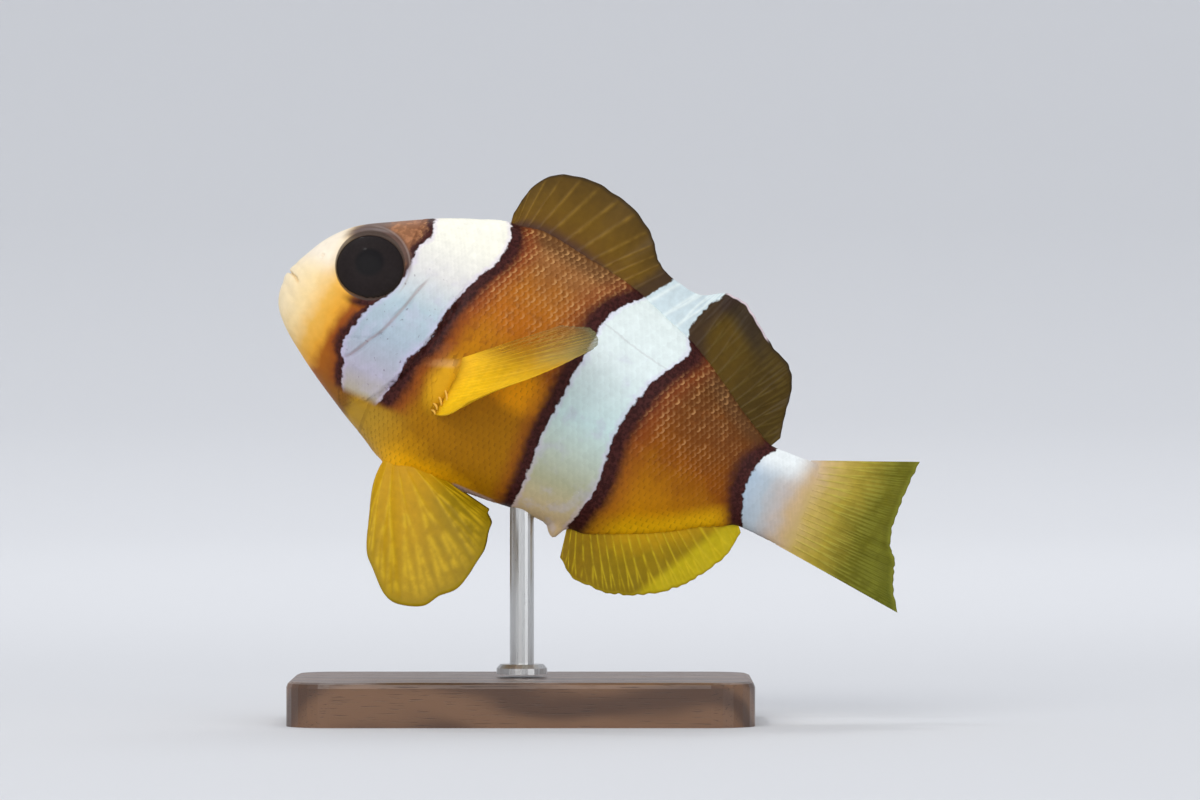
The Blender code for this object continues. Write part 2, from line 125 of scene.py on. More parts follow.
# Fins. A rib is (root x, tip x, tip z) on the fins of the midline
DORSAL_RIBS = (
    (17.1, 16.9, 15.0), (17.5, 17.4, 17.5), (18.3, 19.4, 19.9), (19.8, 22.6, 20.5), (22.4, 26.3, 19.8),
    (24.8, 29.3, 18.0), (26.8, 30.5, 16.4), (29.2, 31.9, 15.4), (32.5, 35.2, 14.75), (35.3, 37.7, 15.9),
    (37.4, 39.4, 15.75), (39.0, 41.4, 14.4), (40.6, 43.5, 12.95), (41.9, 45.5, 11.9), (43.0, 46.5, 9.8),
    (44.2, 46.8, 7.6), (46.4, 47.2, 5.6))
ANAL_RIBS = (
    (32.4, 33.0, -12.2), (33.2, 35.1, -13.55), (34.4, 37.6, -13.6), (35.7, 39.4, -13.2),
    (37.1, 41.2, -12.45), (38.7, 43.3, -11.1), (40.1, 44.7, -9.7), (41.4, 45.8, -8.1), (43.6, 46.9, -6.0),
    (46.3, 47.25, -3.7))
# Tail fin: (root height, tip x, tip z)
TAIL_RIBS = (
    (4.85, 59.8, 8.6), (3.4, 59.7, 5.8), (2.1, 59.75, 3.2), (0.8, 60.2, 0.8), (-0.6, 61.3, -0.7),
    (-1.9, 61.9, -2.5), (-3.45, 63.3, -4.85))
TAIL_ROOT = 50.6
# Paired fins: (root x, y, z, tip x, y, z), with y outwards
PECTORAL_RIBS = (
    (17.2, 5.3, 0.5, 24.9, 7.2, 7.2), (17.25, 5.25, -0.4, 27.5, 8.2, 8.0),
    (17.3, 5.2, -1.2, 28.6, 10.2, 6.9), (17.35, 4.95, -2.1, 27.0, 12.4, 4.7),
    (17.4, 4.8, -3.0, 24.8, 13.5, 2.3), (17.4, 4.65, -3.9, 22.3, 13.5, 0.0),
    (17.4, 4.5, -4.7, 19.9, 11.3, -2.4))
PELVIC_RIBS = (
    (14.9, 1.6, -9.7, 15.3, 2.4, -14.4), (15.2, 1.6, -9.6, 17.0, 4.4, -18.9),
    (15.5, 1.6, -9.5, 21.0, 5.6, -21.7), (15.9, 1.65, -9.4, 24.6, 5.6, -19.8),
    (16.3, 1.7, -9.3, 26.4, 4.6, -15.2), (16.8, 1.75, -9.2, 26.1, 3.2, -12.0),
    (17.3, 1.8, -9.1, 25.3, 2.0, -10.7))
RAY_BASES = (
    (17.33, -2.03, 18.15, -3.2), (17.1, -2.9, 17.8, -3.65), (16.95, -3.7, 17.6, -4.15),
    (17.05, -4.35, 17.6, -4.6))
ROOT_DEPTH = 0.7  # how far the fins of the midline start inside the skin
THICKEST = 1.9  # of what thicken() gives to a sheet
MEMBRANE, RIPPLE = 0.14, 0.12  # a fin's thickness between its rays, and how far it waves to each side

# Scales
SCALE_PITCH, SCALE_ROW = 0.57, 0.62  # from a scale to the next in its row, and from row to row
SCALE_LENGTH, SCALE_WIDTH = 1.0, 1.3
SCALE_THICKNESS, SCALE_RISE = 0.01, 0.036
SCALE_PATCH = 0.003  # how much of the skin's unwrap each scale takes
SCALE_SEEDS = {-1: 8, 1: 7}  # a seed for each side's sizes and tones
SLIT_TOP, NAPE_END = 7.6, 14.6  # above the gill slit's top, the head's scales end at NAPE_END

# Set
FIGURE_WIDTH = 0.1091  # what the camera sees across, where the fish is
VIEW_CENTRE = Vector((0.0071, 0, 0.0292))
LENS, SENSOR = 200, 36
FLOOR = (  # (radius, height) points of the floor as it rises into a wall
    (0.02, 0), (0.3, 0), (0.55, 0.006), (0.75, 0.025), (0.95, 0.07), (1.12, 0.15), (1.25, 0.27), (1.34, 0.45),
    (1.4, 0.75))


# ---------------------------------------------------------------- curves and the body's surface


def smooth(points):
    """A curve through (place, value) points that never overshoots them, for arrays of places."""
    places, values = np.array(points, float).T
    steps = np.diff(places)
    rises = np.diff(values) / steps
    slopes = np.concatenate((rises[:1], np.zeros(len(rises) - 1), rises[-1:]))
    for i in range(1, len(rises)):
        if rises[i - 1] * rises[i] > 0:
            heavy, light = 2 * steps[i] + steps[i - 1], steps[i] + 2 * steps[i - 1]
            slopes[i] = (heavy + light) / (heavy / rises[i - 1] + light / rises[i])

    def at(place):
        place = np.clip(place, places[0], places[-1])
        i = np.clip(np.searchsorted(places, place, side="right") - 1, 0, len(steps) - 1)
        t = (place - places[i]) / steps[i]
        start = values[i] * (1 + 2 * t) * (1 - t) ** 2 + slopes[i] * steps[i] * t * (1 - t) ** 2
        end = values[i + 1] * t * t * (3 - 2 * t) - slopes[i + 1] * steps[i] * t * t * (1 - t)
        return start + end

    return at


def profile(points):
    """A body profile. Distances are rooted, which rounds the snout."""
    curve = smooth([(math.sqrt(x), size) for x, size in points])
    return lambda x: curve(np.sqrt(np.maximum(x, 0)))


back, belly, half_width = profile(BACK), profile(BELLY), profile(HALF_WIDTH)
widest_level = profile(WIDEST_LEVEL)
back_squareness, belly_squareness = profile(BACK_SQUARENESS), profile(BELLY_SQUARENESS)


def body(x, turn):
    """Points of the body's surface. turn goes from the right flank over the back to the left flank."""
    side, rise = np.cos(turn), np.sin(turn)
    level = widest_level(x)
    upper = rise >= 0
    reach = np.where(upper, back(x) - level, level - belly(x))
    power = 2 / np.where(upper, back_squareness(x), belly_squareness(x))
    y = half_width(x) * np.sign(side) * np.abs(side) ** power
    z = level + reach * np.sign(rise) * np.abs(rise) ** power
    return np.stack((x + 0 * turn, y, z), -1)


def unit(vectors):
    return vectors / np.maximum(np.linalg.norm(vectors, axis=-1, keepdims=True), 1e-12)


def body_normal(x, turn):
    """Outward directions there, from small steps along the body and round it."""
    step = 1e-3
    reach = np.clip(np.sqrt(np.maximum(x, 0) / BODY_END), 0.01, 0.985)
    place = [BODY_END * (reach + change) ** 2 for change in (-step, step)]
    along = body(place[1], turn) - body(place[0], turn)
    middle = BODY_END * reach ** 2
    around = body(middle, turn + 0.02) - body(middle, turn - 0.02)
    return unit(np.cross(around, along))


def to_row(points):
    """Points of the fish's frame, swept with the tail, in the row frame."""
    x, y, z = np.asarray(points).T
    y = y + TAIL_SWING * (np.maximum(0, x - SWING_START) / (TOTAL_LENGTH - SWING_START)) ** 2
    return SNOUT + MM * (np.outer(x, ALONG) + np.outer(y, ACROSS) + np.outer(z, UPWARDS))


def ease(value, low, high):
    """0 at low and 1 at high, with soft ends. low may be the larger one."""
    t = np.clip((value - low) / (high - low), 0, 1)
    return t * t * (3 - 2 * t)


def span(value, start, full, fading, end):
    """1 from full to fading and 0 outside start and end."""
    return ease(value, start, full) * ease(value, end, fading)


def bump(distance, width):
    """1 at distance 0, falling off to both sides."""
    return np.exp(-(distance / width) ** 2)


def along_path(x, z, path):
    """Signed distance from a path drawn downwards, positive behind it, and the share of the path passed."""
    best = np.full(x.shape, 1e9)
    signed, share = best.copy(), np.zeros(x.shape)
    lengths = [math.dist(a, b) for a, b in zip(path, path[1:])]
    passed = 0
    for (ax, az), (bx, bz), length in zip(path, path[1:], lengths):
        way = ((bx - ax) / length, (bz - az) / length)
        t = np.clip((x - ax) * way[0] + (z - az) * way[1], 0, length)
        off = np.hypot(x - ax - t * way[0], z - az - t * way[1])
        side = np.sign(way[0] * (z - az) - way[1] * (x - ax))
        closer = off < best
        best = np.where(closer, off, best)
        signed = np.where(closer, off * side, signed)
        share = np.where(closer, (passed + t) / sum(lengths), share)
        passed += length
    return signed, share


# ---------------------------------------------------------------- modelling


def deselect():
    bpy.ops.object.select_all(action="DESELECT")


def pick(piece):
    """Selects a piece, alone."""
    deselect()
    piece.select_set(True)
    bpy.context.view_layer.objects.active = piece


def add_object(name, data):
    """Puts an object with this mesh, light or lens into the scene."""
    made = bpy.data.objects.new(name, data)
    bpy.context.scene.collection.objects.link(made)
    return made


def named(name):
    """The piece that was just added, under its name."""
    piece = bpy.context.object
    piece.name = piece.data.name = name
    return piece


def coordinates(piece):
    flat = np.zeros(len(piece.data.vertices) * 3, np.float32)
    piece.data.vertices.foreach_get("co", flat)
    return flat.reshape(-1, 3).astype(float)


def set_coordinates(piece, points):
    piece.data.vertices.foreach_set("co", np.asarray(points, np.float32).ravel())
    piece.data.update()


def add_sheet(name, columns, rows, place):
    """A grid whose points place(u, v) carries to the fish's frame, with u and v from 0 to 1."""
    deselect()
    bpy.ops.mesh.primitive_grid_add(x_subdivisions=columns, y_subdivisions=rows, size=1)
    piece = named(name)
    u, v = np.clip(coordinates(piece)[:, :2].T + 0.5, 0, 1)
    set_coordinates(piece, to_row(place(u, v)))
    return piece


def close_mesh(piece, join=True):
    """Joins the points that coincide, unless join is False, and turns every face outwards."""
    pick(piece)
    bpy.ops.object.mode_set(mode="EDIT")
    bpy.ops.mesh.select_all(action="SELECT")
    if join:
        bpy.ops.mesh.remove_doubles(threshold=MERGE)
    bpy.ops.mesh.normals_make_consistent(inside=False)
    bpy.ops.object.mode_set(mode="OBJECT")


def shade_smooth(piece):
    pick(piece)
    bpy.ops.object.shade_smooth()


def corner_points(mesh):
    """The point on which each corner of the faces lies."""
    points = np.zeros(len(mesh.loops), np.int32)
    mesh.loops.foreach_get("vertex_index", points)
    return points


def add_attribute(piece, name, values):
    """A number on each point, for the piece's material."""
    attribute = piece.data.attributes.new(name, "FLOAT", "POINT")
    attribute.data.foreach_set("value", np.asarray(values, np.float32))


def finish_piece(piece, material, slot, *nodes):
    """Gives a piece its material, hangs it on the root and hides the CAD nodes that it stands for. slot is
    not used.
    """
    piece.data.materials.clear()
    piece.data.materials.append(material)
    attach(piece, "root")
    if nodes:
        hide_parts(*nodes)


# ---------------------------------------------------------------- skin


def eye_axis(side):
    """The way that the eye on the right (side 1) or left (side -1) looks."""
    level, rise = math.cos(EYE_TILT), math.sin(EYE_TILT)
    return np.array((-math.sin(EYE_FORWARD) * level, side * math.cos(EYE_FORWARD) * level, rise))


def eye_frame(side):
    """The eye's own directions: across it, up it and out along its axis."""
    axis = eye_axis(side)
    across = np.cross((0, 0, 1), axis)
    across /= np.linalg.norm(across)
    return across, np.cross(axis, across), axis


def round_eye(points):
    """Places round the eye on each point's own side: across, up, and out from the eye's middle."""
    mirrored = np.stack((points[:, 0], np.abs(points[:, 1]), points[:, 2]), -1)
    return [(mirrored - EYE_PLACE) @ way for way in eye_frame(1)]


def eye_shares(points):
    """How far out each point is, 1 being the edge of the eye's opening, and the eye's own height there."""
    across, up, out = round_eye(points)
    share = np.hypot(across / EYE_OPENING[0], (up + EYE_HOOD) / EYE_OPENING[1])
    reach = np.hypot(across, up)
    share[out < -2.5] = 9
    height = EYE_BULGE * np.sqrt(np.maximum(0, 1 - (reach / EYE_RADIUS) ** 2))
    edge = EYE_BULGE * np.sqrt(np.maximum(0, 1 - (reach / np.maximum(share, 0.1) / EYE_RADIUS) ** 2))
    return share, out, height, edge


def gather_edge(points):
    """Draws points near the edge of the eye's opening onto it, so that the skin ends in a clean line."""
    across, up = round_eye(points)[:2]
    off = eye_shares(points)[0] - 1
    move = -0.88 * off * bump(off, 0.06) / np.maximum(off + 1, 0.2)
    right = np.outer(across * move, eye_frame(1)[0]) + np.outer((up + EYE_HOOD) * move, eye_frame(1)[1])
    right[:, 1] *= np.where(points[:, 1] < 0, -1, 1)
    return points + right


def socket_shift(points):
    """How far the skin moves along the eye's axis, to pass under the eye and to rise to its edge."""
    share, out, height, edge = eye_shares(points)
    under, rim = height - 0.35, edge + 0.06
    wanted = under + (rim - under) * ease(share, 0.985, 1.006)
    return (wanted - out) * ease(share, 1.38, 1.03)


def mouth_relief(x, z):
    """The slit of the mouth between two rolled lips."""
    gap = along_path(x, z, MOUTH)[0]
    fade = ease(x, 2.1, 1.45)
    slit = -0.36 * bump(gap, 0.1) * ease(x, 1.6, 1.15)
    upper = 0.035 * bump(gap - 0.4, 0.28) - 0.04 * bump(gap - 0.95, 0.2)
    lower = 0.07 * bump(gap + 0.5, 0.36) - 0.04 * bump(gap + 1.15, 0.24)
    return slit + fade * (upper + lower)


def gill_relief(x, z):
    """The edge of the preopercle, the fold before it, and the free edge of the gill cover."""
    off, share = along_path(x, z, PREOPERCLE)
    ends = span(share, 0, 0.12, 0.85, 1)
    ridge = ends * (0.13 * bump(off + 0.3, 0.32) - 0.2 * bump(off - 0.1, 0.13))
    off, share = along_path(x, z, CHEEK_FOLD)
    fold = ease(share, 0, 0.2) * (0.06 * bump(off - 0.2, 0.2) - 0.1 * bump(off, 0.12))
    off, share = along_path(x, z, GILL_SLIT)
    ends = span(share, 0, 0.14, 0.6, 0.95)
    flap = np.where(off < 0.05, 0.22 * bump(off, 1.0), -0.3 * bump(off, 0.45))
    return ridge + fold + ends * flap


def skin_relief(points):
    """How far the skin stands out from the plain body at each point."""
    x, y, z = points.T
    relief = mouth_relief(x, z) + gill_relief(x, z)
    off = np.hypot(x - NOSTRIL[0], z - NOSTRIL[1])
    relief += 0.04 * bump(off - 0.24, 0.1) - 0.2 * bump(off, 0.14)
    share = eye_shares(points)[0]
    over = ease(z - EYE_PLACE[2] + (x - EYE_PLACE[0]) * 0.3, 0, 2)
    relief += over * (0.05 * bump(share - 1.16, 0.08) - 0.05 * bump(share - 1.34, 0.1))
    lobe = np.hypot((x - PECTORAL_LOBE[0]) / 1.9, (z - PECTORAL_LOBE[1]) / 3.3)
    relief += 0.55 * ease(lobe, 1.15, 0.4)
    sheath = np.where(z > 0, span(x, 17.5, 20, 45, 47), span(x, 32.5, 34, 45, 47))
    relief += 0.45 * bump(y, 0.75) * sheath
    base = np.hypot((x - PELVIC_BASE[0]) / 1.6, (np.abs(y) - PELVIC_BASE[1]) / 1.2)
    relief += 0.45 * ease(base, 1.2, 0.2) * ease(z, -7, -9)
    vent = np.hypot(np.hypot(x - VENT[0], y), 0.3 * np.minimum(z - VENT[1], 0))
    relief += np.where(z < VENT[1] + 1.5, 1.1 * bump(vent, 0.62), 0)
    relief += 0.05 * np.sin(x * 2.1 + z * 3.3) * ease(z, -5.6, -7) * span(x, 3.5, 5, 9.5, 12)
    return relief


def skin_point(u, v):
    """The skin, laid on a sheet that wraps the body: u runs back from the snout and v goes round."""
    x, turn = BODY_END * u ** 2, 2 * math.pi * v
    points = body(x, turn)
    normal = np.where(u[:, None] == 0, (-1, 0, 0), body_normal(x, turn))
    depth = COAT_DEPTH * ease(x, 5, 9) * ease(x, BODY_END, BODY_END - 1)
    moved = gather_edge(points + normal * (skin_relief(points) - depth)[:, None])
    moved += socket_shift(moved)[:, None] * np.where(moved[:, 1:2] < 0, eye_axis(-1), eye_axis(1))
    moved[:, 1] *= np.abs(moved[:, 1]) > 1e-6
    return moved


def make_skin():
    skin = add_sheet("skin", SKIN_COLUMNS, SKIN_ROWS, skin_point)
    skin.data.uv_layers[0].name = "OFBake"
    close_mesh(skin)
    shade_smooth(skin)
    nodes = ("head", "lower_jaw", "gill_cover_left", "gill_cover_right", "trunk", "tail_stem")
    finish_piece(skin, skin_paint(), "skin", *nodes)


# ---------------------------------------------------------------- scales


def scale_blank():
    """One scale, flat: x from its root to its free edge and y across, each about 1 long, z its thickness."""
    deselect()
    bpy.ops.mesh.primitive_grid_add(x_subdivisions=3, y_subdivisions=4, size=1)
    blank = named("scale_blank")
    x, y = coordinates(blank).T[:2]
    u, v = x + 0.5, 2 * y
    rounded = u * (1 - 0.42 * np.abs(v) ** 2.2)
    across = v * (0.36 + 0.14 * np.sin(math.pi * np.clip(u * 0.75 + 0.1, 0, 1)))
    set_coordinates(blank, np.stack((rounded, across, 0.0 * u), -1))
    blank.modifiers.new("thickness", "SOLIDIFY").thickness = SCALE_THICKNESS
    blank.modifiers["thickness"].offset = 0
    bpy.ops.object.modifier_apply(modifier="thickness")
    points = coordinates(blank)
    faces = [list(face.vertices) for face in blank.data.polygons]
    bpy.data.objects.remove(blank)
    return points, faces


def scale_roots(start, end, spacing):
    """Roots of one side's scales: rows of even height, staggered, from belly to back."""
    past_middle, middle_row = 0.25, 0.25  # turns, in radians
    wrap = math.pi / 2 + past_middle
    turns = np.linspace(-wrap, wrap, 211)
    roots, x, column = [], start, 0
    while x < end:
        size = float(spacing(x))
        section = body(np.full(len(turns), x), turns)
        arc = np.concatenate(([0], np.cumsum(np.linalg.norm(np.diff(section, axis=0), axis=1))))
        arc -= np.interp(middle_row, turns, arc)
        lowest, highest = np.interp((-math.pi / 2, math.pi / 2), turns, arc)
        row = SCALE_ROW * size
        for j in range(math.ceil((lowest + 0.15) / row), int((highest - 0.15) / row) + 1):
            if (j + column) % 2 == 0:
                roots.append((x, j * row, size, arc, turns))
        x += SCALE_PITCH * size / 2
        column += 1
    return roots


def path_distance(x, z, path):
    return along_path(np.array([x]), np.array([z]), path)[0][0]


def is_head_scaled(x, z):
    """The small scales of the cheek, gill cover and nape. The snout and the eye's surround are bare."""
    near_eye = math.hypot(x - EYE_PLACE[0], z - EYE_PLACE[2]) < 4.15
    if near_eye or x < 7.6 - 0.35 * min(z + 3, 0) or z > 7.4 and x < 9.6:
        return False
    if abs(path_distance(x, z, PREOPERCLE)) < 0.28 or abs(path_distance(x, z, CHEEK_FOLD)) < 0.2:
        return False
    return x < NAPE_END if z >= SLIT_TOP else path_distance(x, z, GILL_SLIT) < -0.3


def is_body_scaled(x, z):
    """The scales behind the gill slit. The root of the pectoral fin is bare."""
    in_front = x < NAPE_END if z >= SLIT_TOP else x < 11.6 or path_distance(x, z, GILL_SLIT) < 0.45
    if in_front:
        return False
    return math.hypot((x - PECTORAL_LOBE[0] - 0.4) / 0.9, (z - PECTORAL_LOBE[1]) / 2.7) > 1


HEAD_SIZES = smooth(((7.6, 0.55), (16.8, 0.68)))
BODY_SIZES = smooth(((9, 0.8), (16, 0.95), (20, 1), (36, 1), (44, 0.8), (48, 0.68), (BODY_END, 0.38)))
SCALE_FIELDS = {  # where a field's rows start, its sizes, what it covers, and the roots that its piece takes
    "head": (7.6, HEAD_SIZES, is_head_scaled, (7.6, 16.8)),
    "trunk": (9.0, BODY_SIZES, is_body_scaled, (9.0, 29.0)),
    "tail": (9.0, BODY_SIZES, is_body_scaled, (29.0, 51.2)),
}


def gather_scales(field, side, blank):
    """One side's scales of a field: rows of x, turn, the three places on the blank and size, with a column
    for each point, then each scale's place on the skin's unwrap, and its tone."""
    start, spacing, covered, (first, last) = SCALE_FIELDS[field]
    rng = np.random.default_rng(SCALE_SEEDS[side])
    points, patches, tones = [], [], []
    for x, arc_place, size, arc, turns in scale_roots(start, last, spacing):
        if x < first:
            continue
        root_turn = np.interp(arc_place, arc, turns)
        root = body(np.array([x]), np.array([root_turn]))[0]
        if not covered(root[0], root[2]):
            continue
        grown = size * rng.uniform(0.94, 1.06)
        place_x = x + (blank[:, 0] - 0.45) * SCALE_LENGTH * grown
        place_turn = np.interp(arc_place + blank[:, 1] * SCALE_WIDTH * grown, arc, turns)
        points.append(np.column_stack((place_x, place_turn, blank, np.full(len(blank), size))))
        wrapped = root_turn if side > 0 else math.pi - root_turn
        patches.append((math.sqrt(x / BODY_END), wrapped / (2 * math.pi) % 1))
        tones.append(rng.uniform())
    return np.concatenate(points).T, np.array(patches), tones


def lay_scales(field, side, word, blank, blank_faces, material):
    """The blank laid on every root of a field, on one side, as one mesh."""
    (x, turn, along, across, depth, size), patches, tones = gather_scales(field, side, blank)
    x = np.minimum(x, BODY_END - 0.02)
    surface = body(x, turn)
    rise = SCALE_RISE * along - 0.035 * (1 - along) ** 6 + 0.012 * (1 - 4 * across ** 2) + depth
    lift = skin_relief(surface) - COAT_DEPTH + 0.008 + rise * size
    placed = surface + body_normal(x, turn) * lift[:, None]
    placed += socket_shift(placed)[:, None] * eye_axis(1)
    placed[:, 1] *= side

    each = len(blank)
    faces = (np.arange(len(patches))[:, None, None] * each + np.array(blank_faces)[None]).reshape(-1, 4)
    mesh = bpy.data.meshes.new(f"scales_{field}_{word}")
    mesh.from_pydata(to_row(placed).tolist(), [], faces.tolist())
    piece = add_object(mesh.name, mesh)

    corners = corner_points(mesh)
    on_blank = np.stack((along, across + 0.5), -1)
    on_skin = np.repeat(patches, each, axis=0) + (on_blank - 0.5) * SCALE_PATCH
    for name, places in (("OFBake", np.clip(on_skin, 0.001, 0.999)), ("Scale", on_blank)):
        layer = mesh.uv_layers.new(name=name)
        layer.data.foreach_set("uv", places[corners].astype(np.float32).ravel())
    add_attribute(piece, "tone", np.repeat(tones, each))
    close_mesh(piece, join=False)
    pick(piece)
    bpy.ops.object.shade_smooth_by_angle(angle=math.radians(35))
    finish_piece(piece, material, "skin")


def make_scales():
    blank, blank_faces = scale_blank()
    material = scale_paint()
    for field in SCALE_FIELDS:
        for side, word in SIDES:
            lay_scales(field, side, word, blank, blank_faces, material)


# ---------------------------------------------------------------- eyes


def make_eye(side, word):
    """A ball flattened into a low dome, set in its socket and turned to look out, up and forward."""
    deselect()
    bpy.ops.mesh.primitive_uv_sphere_add(segments=64, ring_count=40, radius=1)
    eye = named("eyeball_" + word)
    x, y, z = coordinates(eye).T
    across, up, axis = eye_frame(side)
    points = np.array(EYE_PLACE) * (1, side, 1) + EYE_BULGE * np.outer(z, axis)
    points += EYE_RADIUS * (np.outer(x, across) + np.outer(y, up))
    add_attribute(eye, "reach", np.hypot(x, y) * EYE_RADIUS)
    set_coordinates(eye, to_row(points))
    close_mesh(eye)
    shade_smooth(eye)
    finish_piece(eye, eye_paint(), "eye", "eye_" + word)


# ---------------------------------------------------------------- fins


def ribs(table):
    """The columns of a table of ribs, each as a curve over 0 to 1 along the fin."""
    last = len(table) - 1
    return [smooth([(i / last, row[k]) for i, row in enumerate(table)]) for k in range(len(table[0]))]


def stacked(*columns):
    return np.stack(np.broadcast_arrays(*columns), -1)


def midline_ends(table, root_height):
    """A midline fin's roots and tips, as functions of the place along it."""
    x, tip_x, tip_z = ribs(table)
    return lambda u: stacked(x(u), 0.0, root_height(x(u))), lambda u: stacked(tip_x(u), 0.0, tip_z(u))


def tail_ends():
    root_z, tip_x, tip_z = ribs(TAIL_RIBS)
    return lambda u: stacked(TAIL_ROOT, 0.0, root_z(u)), lambda u: stacked(tip_x(u), 0.0, tip_z(u))


def paired_ends(table, side):
    """The same for a fin of one side."""
    curves = ribs(table)
    return [lambda u, three=three: stacked(*[curve(u) for curve in three]) * (1, side, 1)
            for three in (curves[:3], curves[3:])]


def ray_ridges(phase, v, forks, forked):
    """How strongly a ray shows at each point of a fin. Where forked is 1, it splits at each of the forks."""
    off = (phase + 0.5) % 1 - 0.5
    offsets = [np.zeros_like(v)]
    spread = 0.23
    for fork in forks:
        split = forked * spread * ease(v, fork, min(1.1, fork + 0.4))
        offsets = [o + sign * split for o in offsets for sign in (-1, 1)]
        spread *= 0.5
    width = 0.12 - 0.04 * v
    return np.max([bump(off - o, width) for o in offsets], axis=0)


def thicken(piece, thickness):
    """Gives a sheet its thickness at each point, in millimetres."""
    group = piece.vertex_groups.new(name="thickness")
    weights = np.round(np.clip(thickness / THICKEST, 0, 1), 3)
    order = np.argsort(weights, kind="stable")
    values, starts = np.unique(weights[order], return_index=True)
    for value, members in zip(values, np.split(order, starts[1:])):
        group.add(members.tolist(), float(value), "REPLACE")
    solid = piece.modifiers.new("thickness", "SOLIDIFY")
    solid.thickness, solid.offset, solid.vertex_group = THICKEST * MM, 0, "thickness"
    pick(piece)
    bpy.ops.object.modifier_apply(modifier="thickness")


def make_fin(name, root, tip, rays, kind, slot, nodes, forks, across, scallop, fork_from=-1, rows=40,
             root_thickness=0.7, ridge=0.14, curl=None):
    """A fin: a rippled sheet from root(u) to tip(u), given its thickness, with raised rays."""

    def place(u, v):
        phase = u * rays
        between = (0.5 - 0.5 * np.cos(2 * math.pi * phase)) * (0.6 + 0.4 * np.sin(np.floor(phase) * 2.4))
        reach = v * (1 - scallop * between * v)
        start, end = root(u), tip(u)
        points = start + (end - start) * reach[:, None]
        points[:, 1] += RIPPLE * v ** 1.5 * np.sin(phase * 1.9 + 1.3 * np.sin(phase * 0.7) + 3 * v)
        return points + curl(u, v) if curl else points

    fin = add_sheet(name, across * rays, rows, place)
    layer = fin.data.uv_layers[0]
    layer.name = "Fin"
    corner_uv = np.zeros(len(fin.data.loops) * 2, np.float32)
    layer.data.foreach_get("uv", corner_uv)
    uv = np.zeros((len(fin.data.vertices), 2))
    uv[corner_points(fin.data)] = corner_uv.reshape(-1, 2)
    u, v = uv.T
    raised = ray_ridges(u * rays, v, forks, ease(u, fork_from, fork_from + 0.05))
    add_attribute(fin, "ray", raised)
    fleshy = (1 - v) ** 3 * (0.25 + 0.75 * ease(v, 0, 0.16)) * (1 - np.abs(2 * u - 1) ** 3)
    thickness = MEMBRANE * (1 - 0.35 * v) + root_thickness * fleshy
    thicken(fin, thickness + ridge * raised * (1 - 0.6 * v) * ease(v, 0.04, 0.2))
    close_mesh(fin)
    shade_smooth(fin)
    finish_piece(fin, fin_paint(kind), slot, *nodes)


def pectoral_curl(u, v):
    """Lets the lower rays of a pectoral fin sag before they turn up to their tips."""
    sag = np.sin(math.pi * v) * u ** 2
    return stacked(0.1 * sag, 0.0, -0.5 * sag)


def flank(x, z):
    """How far the body's surface is from the middle at the height z."""
    level = widest_level(x)
    reach = np.where(z > level, back(x) - level, level - belly(x))
    power = np.where(z > level, back_squareness(x), belly_squareness(x))
    return half_width(x) * (1 - np.abs((z - level) / reach) ** power) ** (1 / power)


def make_ray_bases(side, word):
    """The ends of the lowest pectoral rays: curled ridges on the fin's root, one modelled and copied."""
    deselect()
    bpy.ops.mesh.primitive_uv_sphere_add(segments=12, ring_count=16, radius=1)
    first = named("pectoral_ray_bases_" + word)
    x, y, z = coordinates(first).T
    t = (z + 1) / 2
    copies = [first] + [add_object(first.name, first.data.copy()) for _ in RAY_BASES[1:]]
    for ridge, (start_x, start_z, end_x, end_z) in zip(copies, RAY_BASES):
        run, climb = end_x - start_x, end_z - start_z
        off = (0.11 * x + 0.12 * np.sin(math.pi * t)) / math.hypot(run, climb)
        place_x, place_z = start_x + run * t - climb * off, start_z + climb * t + run * off
        out = flank(place_x, place_z) + 0.24 + 0.62 * t + 0.13 * y
        set_coordinates(ridge, to_row(np.stack((place_x, side * out, place_z), -1)))
    deselect()
    for ridge in copies:
        ridge.select_set(True)
    bpy.context.view_layer.objects.active = first
    bpy.ops.object.join()
    close_mesh(first)
    shade_smooth(first)
    paint = Paint("ray_base", Base_Color=(0.78, 0.44, 0.07, 1), Roughness=0.45, Specular_IOR_Level=0.12)
    finish_piece(first, paint.material, "fin_yellow")


def pelvic_curl(u, v):
    """Rounds the front edge of a pelvic fin."""
    return stacked(-0.35 * np.sin(math.pi * v) * (1 - u) ** 3, 0.0, 0.0)


def make_fins():
    make_fin("dorsal_fin", *midline_ends(DORSAL_RIBS, lambda x: back(x) - ROOT_DEPTH), 30, "dorsal",
             "fin_brown", ("dorsal_fin_spiny", "dorsal_fin_soft"), forks=(0.3, 0.6), fork_from=0.48,
             across=14, scallop=0.014)
    make_fin("anal_fin_blade", *midline_ends(ANAL_RIBS, lambda x: belly(x) + ROOT_DEPTH), 20, "anal",
             "fin_yellow", ("anal_fin",), forks=(0.55,), across=14, scallop=0.022)
    make_fin("tail_fin_blade", *tail_ends(), 16, "tail", "fin_pale_yellow", ("tail_fin",),
             forks=(0.25, 0.5), across=20, rows=56, scallop=0.012, root_thickness=1.7)
    for side, word in SIDES:
        make_fin("pectoral_blade_" + word, *paired_ends(PECTORAL_RIBS, side), 18, "pectoral", "fin_yellow",
                 ("pectoral_fin_" + word,), forks=(0.5,), across=10, scallop=0.008, ridge=0.07,
                 curl=pectoral_curl)
        make_fin("pelvic_blade_" + word, *paired_ends(PELVIC_RIBS, side), 7, "pelvic", "fin_yellow",
                 ("pelvic_fin_" + word,), forks=(0.25, 0.5, 0.75), across=28, scallop=0.035, ridge=0.07,
                 curl=pelvic_curl)
        make_ray_bases(side, word)


# ---------------------------------------------------------------- materials


